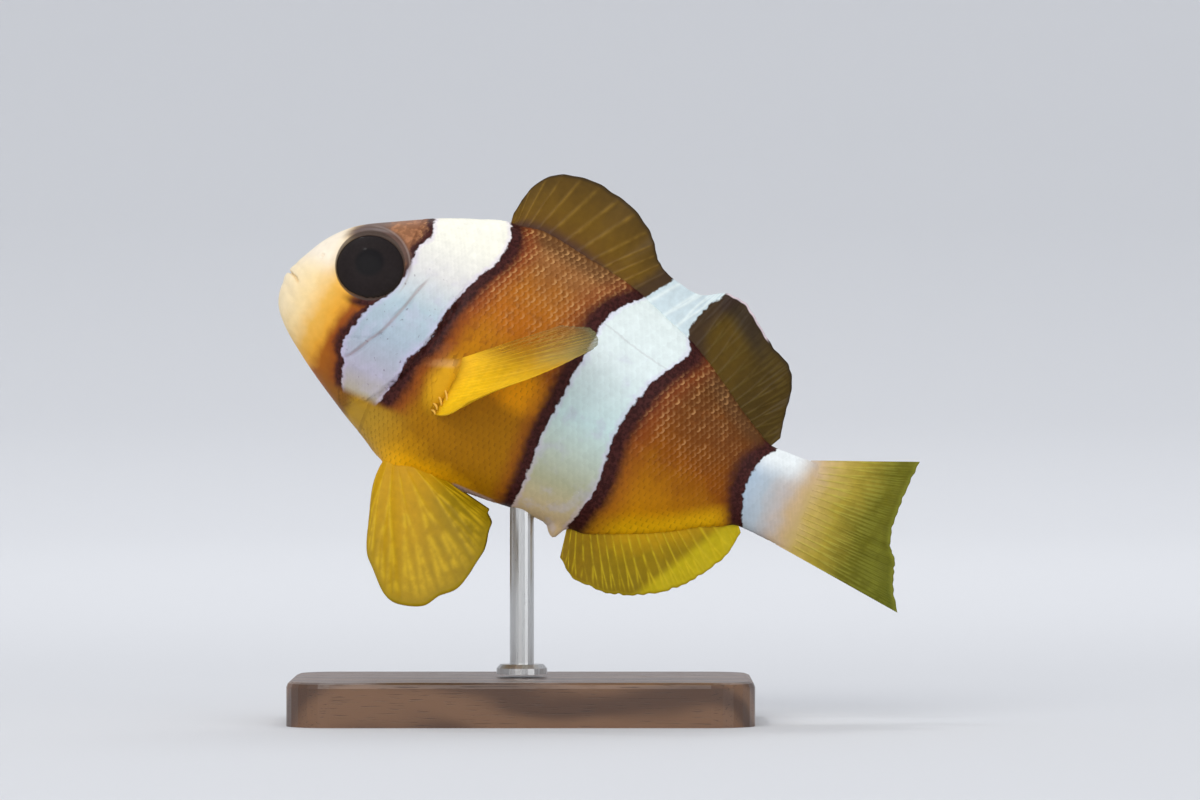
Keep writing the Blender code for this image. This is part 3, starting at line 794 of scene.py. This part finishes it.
class Value:
    """A number, place or colour that a material works out. Each step adds a node to the material."""

    def __init__(self, paint, socket):
        self.paint, self.socket = paint, socket

    def __add__(self, other):
        return self.paint.math("ADD", self, other)

    def __sub__(self, other):
        return self.paint.math("SUBTRACT", self, other)

    def __mul__(self, other):
        return self.paint.math("MULTIPLY", self, other)

    def __truediv__(self, other):
        return self.paint.math("DIVIDE", self, other)

    def __rsub__(self, other):
        return self.paint.math("SUBTRACT", other, self)

    def __abs__(self):
        return self.paint.math("ABSOLUTE", self)

    __radd__, __rmul__ = __add__, __mul__

    def most(self, other):
        return self.paint.math("MAXIMUM", self, other)

    def hypot(self, other):
        return self.paint.math("SQRT", self * self + other * other)

    def ease(self, low, high):
        """0 at low and 1 at high, with soft ends. low may be the larger one."""
        if low > high:
            return 1 - self.ease(high, low)
        settings = {"interpolation_type": "SMOOTHSTEP"}
        return self.paint.node("MapRange", settings, Value=self, From_Min=low, From_Max=high)

    def span(self, start, full, fading, end):
        """1 from full to fading and 0 outside start and end."""
        return self.ease(start, full) * self.ease(end, fading)

    def share(self, low, high):
        return self.paint.node("MapRange", Value=self, From_Min=low, From_Max=high)

    def mix(self, first, second):
        """The first colour where this is 0 and the second where it is 1."""
        first, second = [c if isinstance(c, Value) else (*c, 1) for c in (first, second)]
        return self.paint.node("Mix", {"data_type": "RGBA"}, output=2, _0=self, _6=first, _7=second)

    def layers(self, *coats):
        """This colour with (how much, colour) coats laid over it, one after the other."""
        colour = self
        for cover, coat in coats:
            colour = cover.mix(colour, coat)
        return colour

    def shaded(self, shade):
        """This colour, made lighter or darker by a number."""
        grey = self.paint.node("CombineColor", Red=shade, Green=shade, Blue=shade)
        settings = {"data_type": "RGBA", "blend_type": "MULTIPLY"}
        return self.paint.node("Mix", settings, output=2, _0=1.0, _6=self, _7=grey)

    def ramp(self, low, high, stops):
        """A colour for each value, between (place, colour) stops in order."""
        made = self.paint.node("ValToRGB", _0=self.share(low, high))
        elements = made.socket.node.color_ramp.elements
        while len(elements) < len(stops):
            elements.new(0.5)
        for element, (place, colour) in zip(elements, stops):
            element.position = (place - low) / (high - low)
        for element, (place, colour) in zip(elements, stops):
            element.color = (*colour, 1)
        return made

    def curve(self, points, low, high):
        """A smooth curve through (place, value) points. The values run from low to high."""
        first, last = points[0][0], points[-1][0]
        made = self.paint.node("FloatCurve", Value=self.share(first, last))
        mapping = made.socket.node.mapping
        track = mapping.curves[0].points
        while len(track) < len(points):
            track.new(0.5, 0.5)
        for point, (place, height) in zip(track, points):
            point.location = ((place - first) / (last - first), (height - low) / (high - low))
        mapping.update()
        return made * (high - low) + low

    def noise(self, scale, detail):
        return self.paint.node("TexNoise", Vector=self, Scale=scale, Detail=detail)

    def split(self):
        parts = self.paint.node("SeparateXYZ", Vector=self).socket.node.outputs
        return [Value(self.paint, part) for part in parts]


class Paint:
    """A material under construction around its Principled shader."""

    def __init__(self, name, **sockets):
        self.material = bpy.data.materials.new(name)
        self.material.use_nodes = True
        self.tree = self.material.node_tree
        self.shader = self.tree.nodes["Principled BSDF"]
        for socket, value in sockets.items():
            self.shader.inputs[socket.replace("_", " ")].default_value = value

    def node(self, kind, settings=None, output=0, **sockets):
        """Any node: its settings first, then its sockets by name, or by number as in _0."""
        node = self.tree.nodes.new("ShaderNode" + kind)
        for setting, value in (settings or {}).items():
            setattr(node, setting, value)
        for name, value in sockets.items():
            key = int(name[1:]) if name[0] == "_" else name.replace("_", " ")
            if isinstance(value, Value):
                self.tree.links.new(value.socket, node.inputs[key])
            else:
                node.inputs[key].default_value = value
        return Value(self, node.outputs[output])

    def math(self, operation, *values):
        return self.node("Math", {"operation": operation}, **{f"_{i}": v for i, v in enumerate(values)})

    def place(self):
        """Places in the row frame, in metres."""
        return self.node("TexCoord", output=3)

    def fish(self):
        """Places in the fish's frame, in millimetres, then their x, y and z."""
        place = self.node("Mapping", {"vector_type": "TEXTURE"}, Vector=self.place(), Location=tuple(SNOUT),
                          Rotation=(0, PITCH, 0), Scale=(MM, MM, MM))
        return place, *place.split()

    def grain(self, scales, detail):
        """Noise that is drawn out along the axes with the smaller scales."""
        return self.node("Mapping", Vector=self.place(), Scale=scales).noise(1.0, detail)

    def uv(self, name):
        return self.node("UVMap", {"uv_map": name}).split()[:2]

    def attribute(self, name):
        return self.node("Attribute", {"attribute_name": name}, output=2)

    def connect(self, **sockets):
        for name, value in sockets.items():
            self.tree.links.new(value.socket, self.shader.inputs[name.replace("_", " ")])
        return self.material


def ragged(place):
    """How far the edges of the bars stray from their curves."""
    return (place.noise(1.6, 2) - 0.5) * 0.7


def bar_mask(x, z, front, rear, front_widths, rear_width):
    """Masks of a white bar, of the dark margin outside it, of the glow beyond that and of its fringe."""
    ahead = z.curve(front, 5, 52) - x
    behind = x - z.curve(rear, 5, 52)
    white = ahead.ease(0.1, -0.1) * behind.ease(0.1, -0.1)
    sides = []
    for off, width in ((ahead, z.curve(front_widths, 0, 4)), (behind, rear_width)):
        outside, share = off.ease(-0.8, -0.1), off / width
        sides.append((share.ease(1.3, 0.5) * outside, share.ease(2.4, 1) * outside, off.ease(-0.55, -0.05)))
    return white, *[in_front.most(at_rear) for in_front, at_rear in zip(*sides)]


def bar_colour(z, mottle, fringe, stops):
    """A bar's white from its foot to its top, darker lower down partly as its own colour and partly as
    painted shade; greyer in patches and violet at its fringe.
    """
    return z.ramp(-12, 16, stops).layers(
        (mottle.ease(0.5, 0.7) * z.ease(9, 6) * 0.35, (0.5, 0.48, 0.62)),
        (fringe * 0.35, (0.6, 0.5, 0.74)))


def tail_ground(x, z, mottle):
    """The tail: white behind its dark margin, then flesh and yellow, then the fin's olive."""
    along = x + (mottle - 0.5) * 2 - z.ease(1, 5) * 0.8
    return along.ramp(46, 62, (
        (46, (0.4, 0.5, 0.6)), (47.8, (0.44, 0.5, 0.55)), (49.3, (0.5, 0.44, 0.4)),
        (50.8, (0.56, 0.4, 0.22)), (52.6, (0.5, 0.36, 0.09)), (54.5, (0.36, 0.27, 0.03)),
        (57.2, (0.13, 0.115, 0.004)), (62, (0.1, 0.105, 0.005))))


def flank_colour(place, x, z, mottle):
    """The ground behind the head: a golden belly, orange flanks and a brown back, darker towards the tail."""
    height = z + (x - 20) * 0.25 + (mottle - 0.5) * 3
    # The lowest stop is painted lighter than the belly's own gold: painted light against the shade beneath
    # the belly.
    front = height.ramp(-12, 15, (
        (-11, (0.9, 0.44, 0.003)), (-8, (0.35, 0.148, 0.002)), (-2, (0.4, 0.165, 0.002)),
        (2, (0.46, 0.18, 0.002)), (6, (0.41, 0.117, 0.003)), (9, (0.38, 0.12, 0.008)),
        (12, (0.27, 0.1, 0.025)), (15, (0.33, 0.14, 0.045))))
    rear = height.ramp(-12, 15, (
        (-6, (0.66, 0.29, 0.002)), (-1, (0.52, 0.21, 0.002)), (2, (0.4, 0.148, 0.002)),
        (5, (0.24, 0.064, 0.001)), (8, (0.15, 0.04, 0.002)), (12, (0.11, 0.034, 0.005))))
    blotch = place.noise(1.1, 4).ease(0.52, 0.66) * z.ease(-4, 1)
    lobe = ((x - 17.2) * 0.548).hypot((z + 1.8) * 0.332)
    shoulder = abs(z - x * 0.375 + 6.22).ease(0.6, 0.1) * x.span(14.4, 15.6, 17.2, 18)
    breast = x.ease(17, 12) * z.ease(-4, -7)
    # A painted pool of light on the flank under the pectoral fin, where the fin's shadow falls.
    painted_light_under_fin = ((x - 24.3) * 0.3).hypot((z - 0.2) * 0.5)
    from_back = x.curve([p for p in BACK if 14 <= p[0] <= 46], 4, 15) - z
    from_belly = z - x.curve([p for p in BELLY if 31 <= p[0] <= 46.5], -10, -3)
    return x.ease(29, 34).mix(front, rear).layers(
        (blotch * 0.4, (0.2, 0.055, 0.005)),
        (lobe.ease(1.2, 0.5) * 0.85, (0.7, 0.37, 0.01)),
        (shoulder * 0.6, (0.74, 0.42, 0.15)),
        (breast * 0.8, (0.4, 0.24, 0.026)),
        (painted_light_under_fin.ease(1.3, 0.4) * 0.9, (0.9, 0.36, 0.002)),
        (from_back.ease(1.8, 0.3) * x.span(17, 20, 45, 47) * 0.75, (0.1, 0.042, 0.014)),
        # The gold before the anal fin: its own colour, painted lighter against the shade of the fin's root.
        (from_belly.ease(2.2, 0.2) * x.span(31, 33, 44, 46.5) * 0.9, (0.72, 0.39, 0.003)))


def face_colour(ground, place, x, x_edge, z, mottle):
    """The cream snout, warmer towards the cheek, and the brown crown with painted glints, laid over the
    ground.
    """
    reach = x + (z - 5) * -0.12 + (mottle - 0.5) * 1.5
    snout = reach.ramp(0, 12, (
        (0.5, (0.88, 0.75, 0.52)), (3.2, (0.88, 0.66, 0.33)), (5, (0.8, 0.44, 0.08)),
        (6.2, (0.76, 0.36, 0.035)), (7.15, (0.36, 0.105, 0.008)), (12, (0.2, 0.1, 0.012))))
    snout = (z.ease(2.5, 5) * x.ease(5, 3) * 0.8).mix(snout, (0.9, 0.82, 0.7))
    crown = (x_edge + (mottle - 0.5) * 2).ramp(3, 11, (
        (3.5, (0.26, 0.19, 0.14)), (5, (0.21, 0.14, 0.105)), (6.6, (0.16, 0.1, 0.078)),
        (7.8, (0.27, 0.12, 0.055)), (9.6, (0.25, 0.1, 0.045)), (10.6, (0.08, 0.027, 0.025))))
    # glow paints orange specks on the crown as glints: painted highlights.
    glow = place.noise(2.2, 3).ease(0.44, 0.7) * x.ease(6.4, 7.6)
    crown = (glow * 0.6).mix(crown, (0.5, 0.22, 0.1))
    crowned = (x_edge + (z - 8) * -0.6).ease(3.7, 4.7) * z.ease(6.5, 7.8) * x.ease(12, 11)
    return crowned.mix(x_edge.ease(9.4, 10.6).mix(snout, ground), crown)


def head_bar_colour(place, x, z, mottle, fringe):
    """The head bar's blue-white, with grey specks and the line along the edge of the preopercle."""
    specks = place.noise(2.4, 3).ease(0.66, 0.74) * z.ease(9, 5)
    off_line = abs(x - z.curve(PREOPERCLE_LINE, 5, 15))
    line = off_line.ease(0.22, 0.03) * z.span(-3.4, -2.4, 5.6, 6.6)
    white = bar_colour(z, mottle, fringe, (
        (-6, (0.46, 0.39, 0.25)), (-3.5, (0.42, 0.4, 0.48)), (0, (0.38, 0.46, 0.54)),
        (3.5, (0.43, 0.54, 0.6)), (7, (0.7, 0.69, 0.67)), (11, (0.9, 0.88, 0.76))))
    return white.layers((specks * 0.6, (0.16, 0.12, 0.17)), (line * 0.4, (0.42, 0.27, 0.26)))


def markings(paint):
    """The fish's colours, the places they come from, and where bars and margins cover the ground."""
    place, x, _, z = paint.fish()
    x_edge = x + ragged(place)
    mottle, fine = place.noise(0.55, 4), place.noise(3.2, 2)
    ground = face_colour(flank_colour(place, x, z, mottle), place, x, x_edge, z, mottle)

    head_white, head_dark, head_glow, head_fringe = bar_mask(x_edge, z, *HEAD_BAR)
    mid_white, mid_dark, mid_glow, mid_fringe = bar_mask(x_edge, z, *MID_BAR)
    tail_white, tail_dark, _, _ = bar_mask(x_edge, z, *TAIL_BAR)
    above_throat = z.ease(-6.2, -5.3)
    head_white *= above_throat
    tail_white = tail_white.most(x.ease(50, 51))
    across, up = x - EYE_SEEN[0], z - EYE_SEEN[1]
    away = across.hypot(up)
    dark = (head_dark * above_throat).most(mid_dark).most(tail_dark * x.ease(50, 48))
    dark = dark.most(away.ease(4.1, 3.5) * (across - up).ease(1.8, 4))
    glowing = x.ease(12, 13).most(z.ease(3, 1.5) * 0.7)
    glow = (head_glow * above_throat * glowing).most(mid_glow * 0.7)

    margin = fine.ease(0.35, 0.65).mix((0.03, 0.007, 0.006), (0.058, 0.015, 0.013))
    mid_colour = bar_colour(z, mottle, mid_fringe, (
        (-10, (0.66, 0.48, 0.25)), (-6, (0.42, 0.42, 0.27)), (0, (0.57, 0.74, 0.73)),
        (6, (0.73, 0.82, 0.81)), (12, (0.76, 0.83, 0.8))))
    end_colour = (z.ease(1.5, 4) * x.ease(51.5, 49)).mix(tail_ground(x, z, mottle), (0.8, 0.84, 0.84))
    vent = z.ease(-9.6, -9.85) * x.span(21.2, 21.8, 25, 25.8)
    lateral = abs(z - x.curve(LATERAL_LINE, 2, 12) + (fine - 0.5) * 0.25)
    ring = away.ease(4.0, 3.45) * (up + across * 0.15).ease(0.8, 2.3)
    pale_line = abs(away - 3.62).ease(0.14, 0.03) * (up + across).ease(1.6, 3.2)
    colour = ground.layers(
        (glow * 0.8, (0.22, 0.04, 0.01)),
        (dark, margin),
        (head_white, head_bar_colour(place, x, z, mottle, head_fringe)),
        (mid_white, mid_colour),
        (tail_white, end_colour),
        (vent * 0.85, (0.55, 0.42, 0.4)),
        (lateral.ease(0.13, 0.03) * mid_white * 0.3, (0.42, 0.42, 0.42)),
        (ring * 0.9, (0.1, 0.06, 0.05)),
        (pale_line * 0.3, (0.4, 0.32, 0.28)),
        (away.ease(3.24, 3.12) * 0.85, (0.06, 0.04, 0.03)))
    colour = colour.shaded(0.9 + place.noise(1.4, 3) * 0.2)
    return colour, place, x, z, head_white.most(mid_white).most(tail_white).most(dark)


def skin_paint():
    paint = Paint("skin", Roughness=0.42, Specular_IOR_Level=0.1, Coat_Weight=0.03, Coat_Roughness=0.2)
    colour, place, *_ = markings(paint)
    normal = paint.node("Bump", Strength=0.12, Distance=0.0001, Height=place.noise(6, 3))
    return paint.connect(Base_Color=colour, Normal=normal)


def scale_paint():
    """The skin's colours, with painted shade at each scale's root and painted glints along its free edge."""
    paint = Paint("scales", Roughness=0.45, Specular_IOR_Level=0.08, Coat_Weight=0.025, Coat_Roughness=0.2)
    colour, place, x, z, plain = markings(paint)
    along, across = paint.uv("Scale")
    tone = paint.attribute("tone")
    # The free edge of each scale gets painted highlights: a tan glint on its lower part on the brown back,
    # and a slight lightening.
    edge = (along + abs(across - 0.42) * 0.7).ease(0.72, 0.9)
    glint = edge * across.span(0.05, 0.25, 0.45, 0.8)
    patch = place.noise(0.7, 3).ease(0.36, 0.62)
    # Painted shade at each scale's root, just behind the edge of the scale in front that overlaps it.
    root = along.ease(0.6, 0.4) * (1 - plain) * (0.15 + patch * 0.2)
    on_back = (z + (x - 20) * 0.3).ease(2, 9.5) * x.ease(48, 36)
    painted_glint = glint * (1 - plain) * on_back * (0.05 + tone * tone * 0.5 + patch * 0.25)
    colour = colour.shaded(0.96 + tone * 0.06 + edge * 0.03)
    return paint.connect(Base_Color=colour.layers((root, (0.08, 0.022, 0.003)), (painted_glint, (0.6, 0.32, 0.12))))


def eye_paint():
    """A near-black iris of fine fibres round a pupil that is barely darker."""
    paint = Paint("eye", Roughness=0.5, Specular_IOR_Level=0.05, Coat_Weight=0.02, Coat_Roughness=0.05)
    reach = paint.attribute("reach")
    iris = paint.fish()[0].noise(4, 3).mix((0.013, 0.01, 0.01), (0.024, 0.018, 0.018))
    pupil, edge = reach.ease(1.55, 1.05), reach.ease(2.8, 3.1)
    colour = iris.layers((pupil, (0.009, 0.008, 0.009)), (edge, (0.022, 0.016, 0.013)))
    return paint.connect(Base_Color=colour)


FIN_COLOURS = {  # root, middle, tip (the tail has a ground of its own), rays, free edge, the rays' strength
    "dorsal": ((0.13, 0.06, 0.005), (0.14, 0.072, 0.004), (0.09, 0.048, 0.006), (0.25, 0.14, 0.018),
               (0.025, 0.015, 0.006), 0.7),
    "anal": ((0.52, 0.29, 0.002), (0.28, 0.18, 0.001), (0.24, 0.16, 0.001), (0.6, 0.44, 0.01),
             (0.34, 0.25, 0.003), 0.75),
    "tail": (None, None, None, (0.46, 0.4, 0.06), (0.2, 0.2, 0.02), 0.65),
    "pectoral": ((0.92, 0.54, 0.009), (0.6, 0.32, 0.006), (0.22, 0.22, 0.1), (0.82, 0.55, 0.03),
                 (0.2, 0.21, 0.1), 0.35),
    "pelvic": ((0.51, 0.27, 0.001), (0.45, 0.25, 0.001), (0.33, 0.2, 0.001), (0.64, 0.41, 0.01),
               (0.3, 0.2, 0.002), 0.6),
}


def dorsal_bar(colour, place, x, z, v, raised):
    """The middle bar where it runs on into the dorsal fin, and the fin's dark foot and tip and pale lace."""
    white, dark, _, _ = bar_mask(x + ragged(place), z, *MID_BAR)
    foot = v.ease(0.3, 0.14) * x.ease(38, 34)
    dark_tip = x.span(37, 37.8, 41, 44.5) * v.ease(0.62, 0.85)
    lace = v.ease(0.965, 0.985) * x.span(37.3, 37.8, 42.3, 43)
    return colour.layers(
        (foot * 0.85, (0.07, 0.03, 0.02)),
        (dark_tip * 0.85, (0.03, 0.018, 0.01)),
        (dark * 0.75, (0.035, 0.018, 0.012)),
        (white, (raised * 0.6).mix((0.57, 0.67, 0.7), (0.8, 0.87, 0.84))),
        (lace, (0.62, 0.52, 0.55)))


def fin_paint(kind):
    """A fin's colours from root to tip, streaked along its rays."""
    root, middle, tip, ray, edge, ray_strength = FIN_COLOURS[kind]
    paint = Paint("fin_" + kind, Roughness=0.45, Specular_IOR_Level=0.12, Coat_Weight=0.03,
                  Coat_Roughness=0.2)
    place, x, _, z = paint.fish()
    u, v = paint.uv("Fin")
    raised = paint.attribute("ray")
    fleck = place.noise(0.8, 3)
    reach = v * (1 - u.ease(0.3, 0.75) * 0.7) if kind == "pectoral" else v
    sockets = {}
    if kind != "tail":
        colour = (reach + (fleck - 0.5) * 0.3).ramp(0, 1, ((0.12, root), (0.5, middle), (0.95, tip)))
    if kind == "dorsal":
        soft, rear = x.ease(33, 37), x.ease(40, 43.5)
        colour = colour.layers((soft * 0.85, (0.08, 0.045, 0.002)), (rear * 0.5, (0.03, 0.017, 0.001)))
        ray = soft.mix(ray, (0.1, 0.064, 0.009))
    elif kind == "tail":
        colour = tail_ground(x, z, place.noise(0.55, 4))
        ray = x.ease(54, 59).mix(ray, (0.2, 0.2, 0.02))
    elif kind == "anal":
        # rear paints a pool of light on the anal fin: bright yellow over its lower rear.
        front, rear = x.ease(38, 35), (x + z * -0.55).ease(47, 48.1)
        colour = colour.layers((front * 0.8, (0.24, 0.14, 0.001)), (rear * 0.8, (0.54, 0.42, 0.004)))
    elif kind == "pelvic":
        rear = u.ease(0.4, 0.8) * v.ease(0.2, 0.6)
        colour = (rear * 0.75).mix(colour, (0.2, 0.14, 0.001))
    else:  # the pectoral fin, which is clear between its upper rays and towards its tip
        upper = u.ease(0.48, 0.08) * v.ease(0.12, 0.6)
        clear = (upper * 0.85).most(reach.ease(0.7, 1) * 0.6) * (1 - raised * 0.5)
        sockets["Alpha"] = (1 - clear) * v.ease(0.02, 0.12)
        colour = colour.layers((upper * 0.6, (0.3, 0.13, 0.012)), (v.ease(0.25, 0.05), (0.7, 0.37, 0.01)))
    line = raised * v.span(0.06, 0.25, 0.85, 1) * fleck.ease(0.3, 0.62)
    colour = colour.layers((line * ray_strength, ray), (reach.ease(0.94, 0.99) * 0.7, edge))
    if kind == "dorsal":
        colour = dorsal_bar(colour, place, x, z, v, raised)
    return paint.connect(Base_Color=colour.shaded(0.8 + place.noise(1.5, 3) * 0.4), **sockets)


def wood_paint():
    """Dark walnut: long grain, growth bands and open pores."""
    paint = Paint("walnut", Coat_Weight=0.15, Coat_Roughness=0.25)
    _, y, z = paint.place().split()
    bands = paint.math("SINE", y * 1300 + z * 1000 + paint.grain((25, 60, 60), 3) * 22)
    pores = paint.grain((400, 9000, 9000), 2).ease(0.58, 0.7)
    colour = bands.ease(-1, 1).mix((0.075, 0.034, 0.017), (0.17, 0.085, 0.042))
    colour = (pores * 0.6).mix(colour, (0.03, 0.014, 0.008))
    normal = paint.node("Bump", {"invert": True}, Strength=0.3, Distance=0.0001, Height=pores)
    return paint.connect(Base_Color=colour, Roughness=0.36 + pores * 0.2, Normal=normal)


def steel_paint():
    """Steel brushed along the rod."""
    paint = Paint("brushed_steel", Metallic=1.0)
    lines = paint.grain((14000, 14000, 500), 2)
    colour = lines.mix((0.5, 0.5, 0.49), (0.66, 0.66, 0.65))
    return paint.connect(Base_Color=colour, Roughness=0.22 + lines * 0.16)


def finish_stand():
    for node, material in (("stand_base", wood_paint()), ("stand_rod", steel_paint())):
        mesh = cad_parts[node].data
        mesh.materials.clear()
        mesh.materials.append(material)


# ---------------------------------------------------------------- set


def make_floor():
    """A pale floor that rises into a soft wall all round, so that no edge shows behind the fish."""
    deselect()
    bpy.ops.mesh.primitive_circle_add(vertices=96, radius=FLOOR[0][0], fill_type="NGON")
    floor = named("floor")
    bpy.ops.object.mode_set(mode="EDIT")
    bpy.ops.mesh.select_all(action="SELECT")
    for (inner, low), (outer, high) in zip(FLOOR, FLOOR[1:]):
        bpy.ops.mesh.extrude_region_move()
        bpy.ops.transform.resize(value=(outer / inner, outer / inner, 1))
        bpy.ops.transform.translate(value=(0, 0, high - low))
    bpy.ops.mesh.delete(type="ONLY_FACE")
    bpy.ops.mesh.select_all(action="SELECT")
    bpy.ops.mesh.normals_make_consistent(inside=True)
    bpy.ops.object.mode_set(mode="OBJECT")
    shade_smooth(floor)
    paint = Paint("floor", Base_Color=(0.67, 0.68, 0.7, 1), Roughness=0.9)
    floor.data.materials.append(paint.material)


def add_light(name, place, target, size, power, colour=(1, 1, 1)):
    light = bpy.data.lights.new(name, "AREA")
    light.shape, light.size, light.energy, light.color = "DISK", size, power, colour
    holder = add_object(name, light)
    holder.location = place
    holder.rotation_euler = (target - Vector(place)).to_track_quat("-Z", "Y").to_euler()


def make_set():
    make_floor()
    add_light("key", (-0.367, -1.1, 0.691), VIEW_CENTRE, 1.0, 9.1, (1, 0.98, 0.95))
    add_light("fill", (0.45, -0.5, 0.1), VIEW_CENTRE, 0.5, 1.0, (0.96, 0.98, 1))
    add_light("back", (0.1, 0.4, 0.55), VIEW_CENTRE, 0.4, 0.9)
    add_light("wall", (0, 0.35, 0.7), Vector((0, 1.4, 0.35)), 0.6, 2)
    for y in (-0.23, 0.23):
        add_light("glint", (-0.2, y, 0.56), VIEW_CENTRE, 0.06, 0.28)
    world = bpy.data.worlds.new("studio")
    world.use_nodes = True
    background = world.node_tree.nodes["Background"].inputs
    background["Color"].default_value = (0.9, 0.93, 1, 1)
    background["Strength"].default_value = 0.6
    bpy.context.scene.world = world
    bpy.context.scene.view_settings.view_transform = "Standard"

    lens = bpy.data.cameras.new("camera")
    lens.lens, lens.sensor_width = LENS, SENSOR
    lens.clip_start, lens.clip_end = 0.01, 20
    camera = add_object("camera", lens)
    camera.location = VIEW_CENTRE - Vector((0, FIGURE_WIDTH * LENS / SENSOR, 0))
    camera.rotation_euler = (math.radians(90), 0, 0)
    bpy.context.scene.camera = camera


make_skin()
make_scales()
for side, word in SIDES:
    make_eye(side, word)
make_fins()
finish_stand()
make_set()
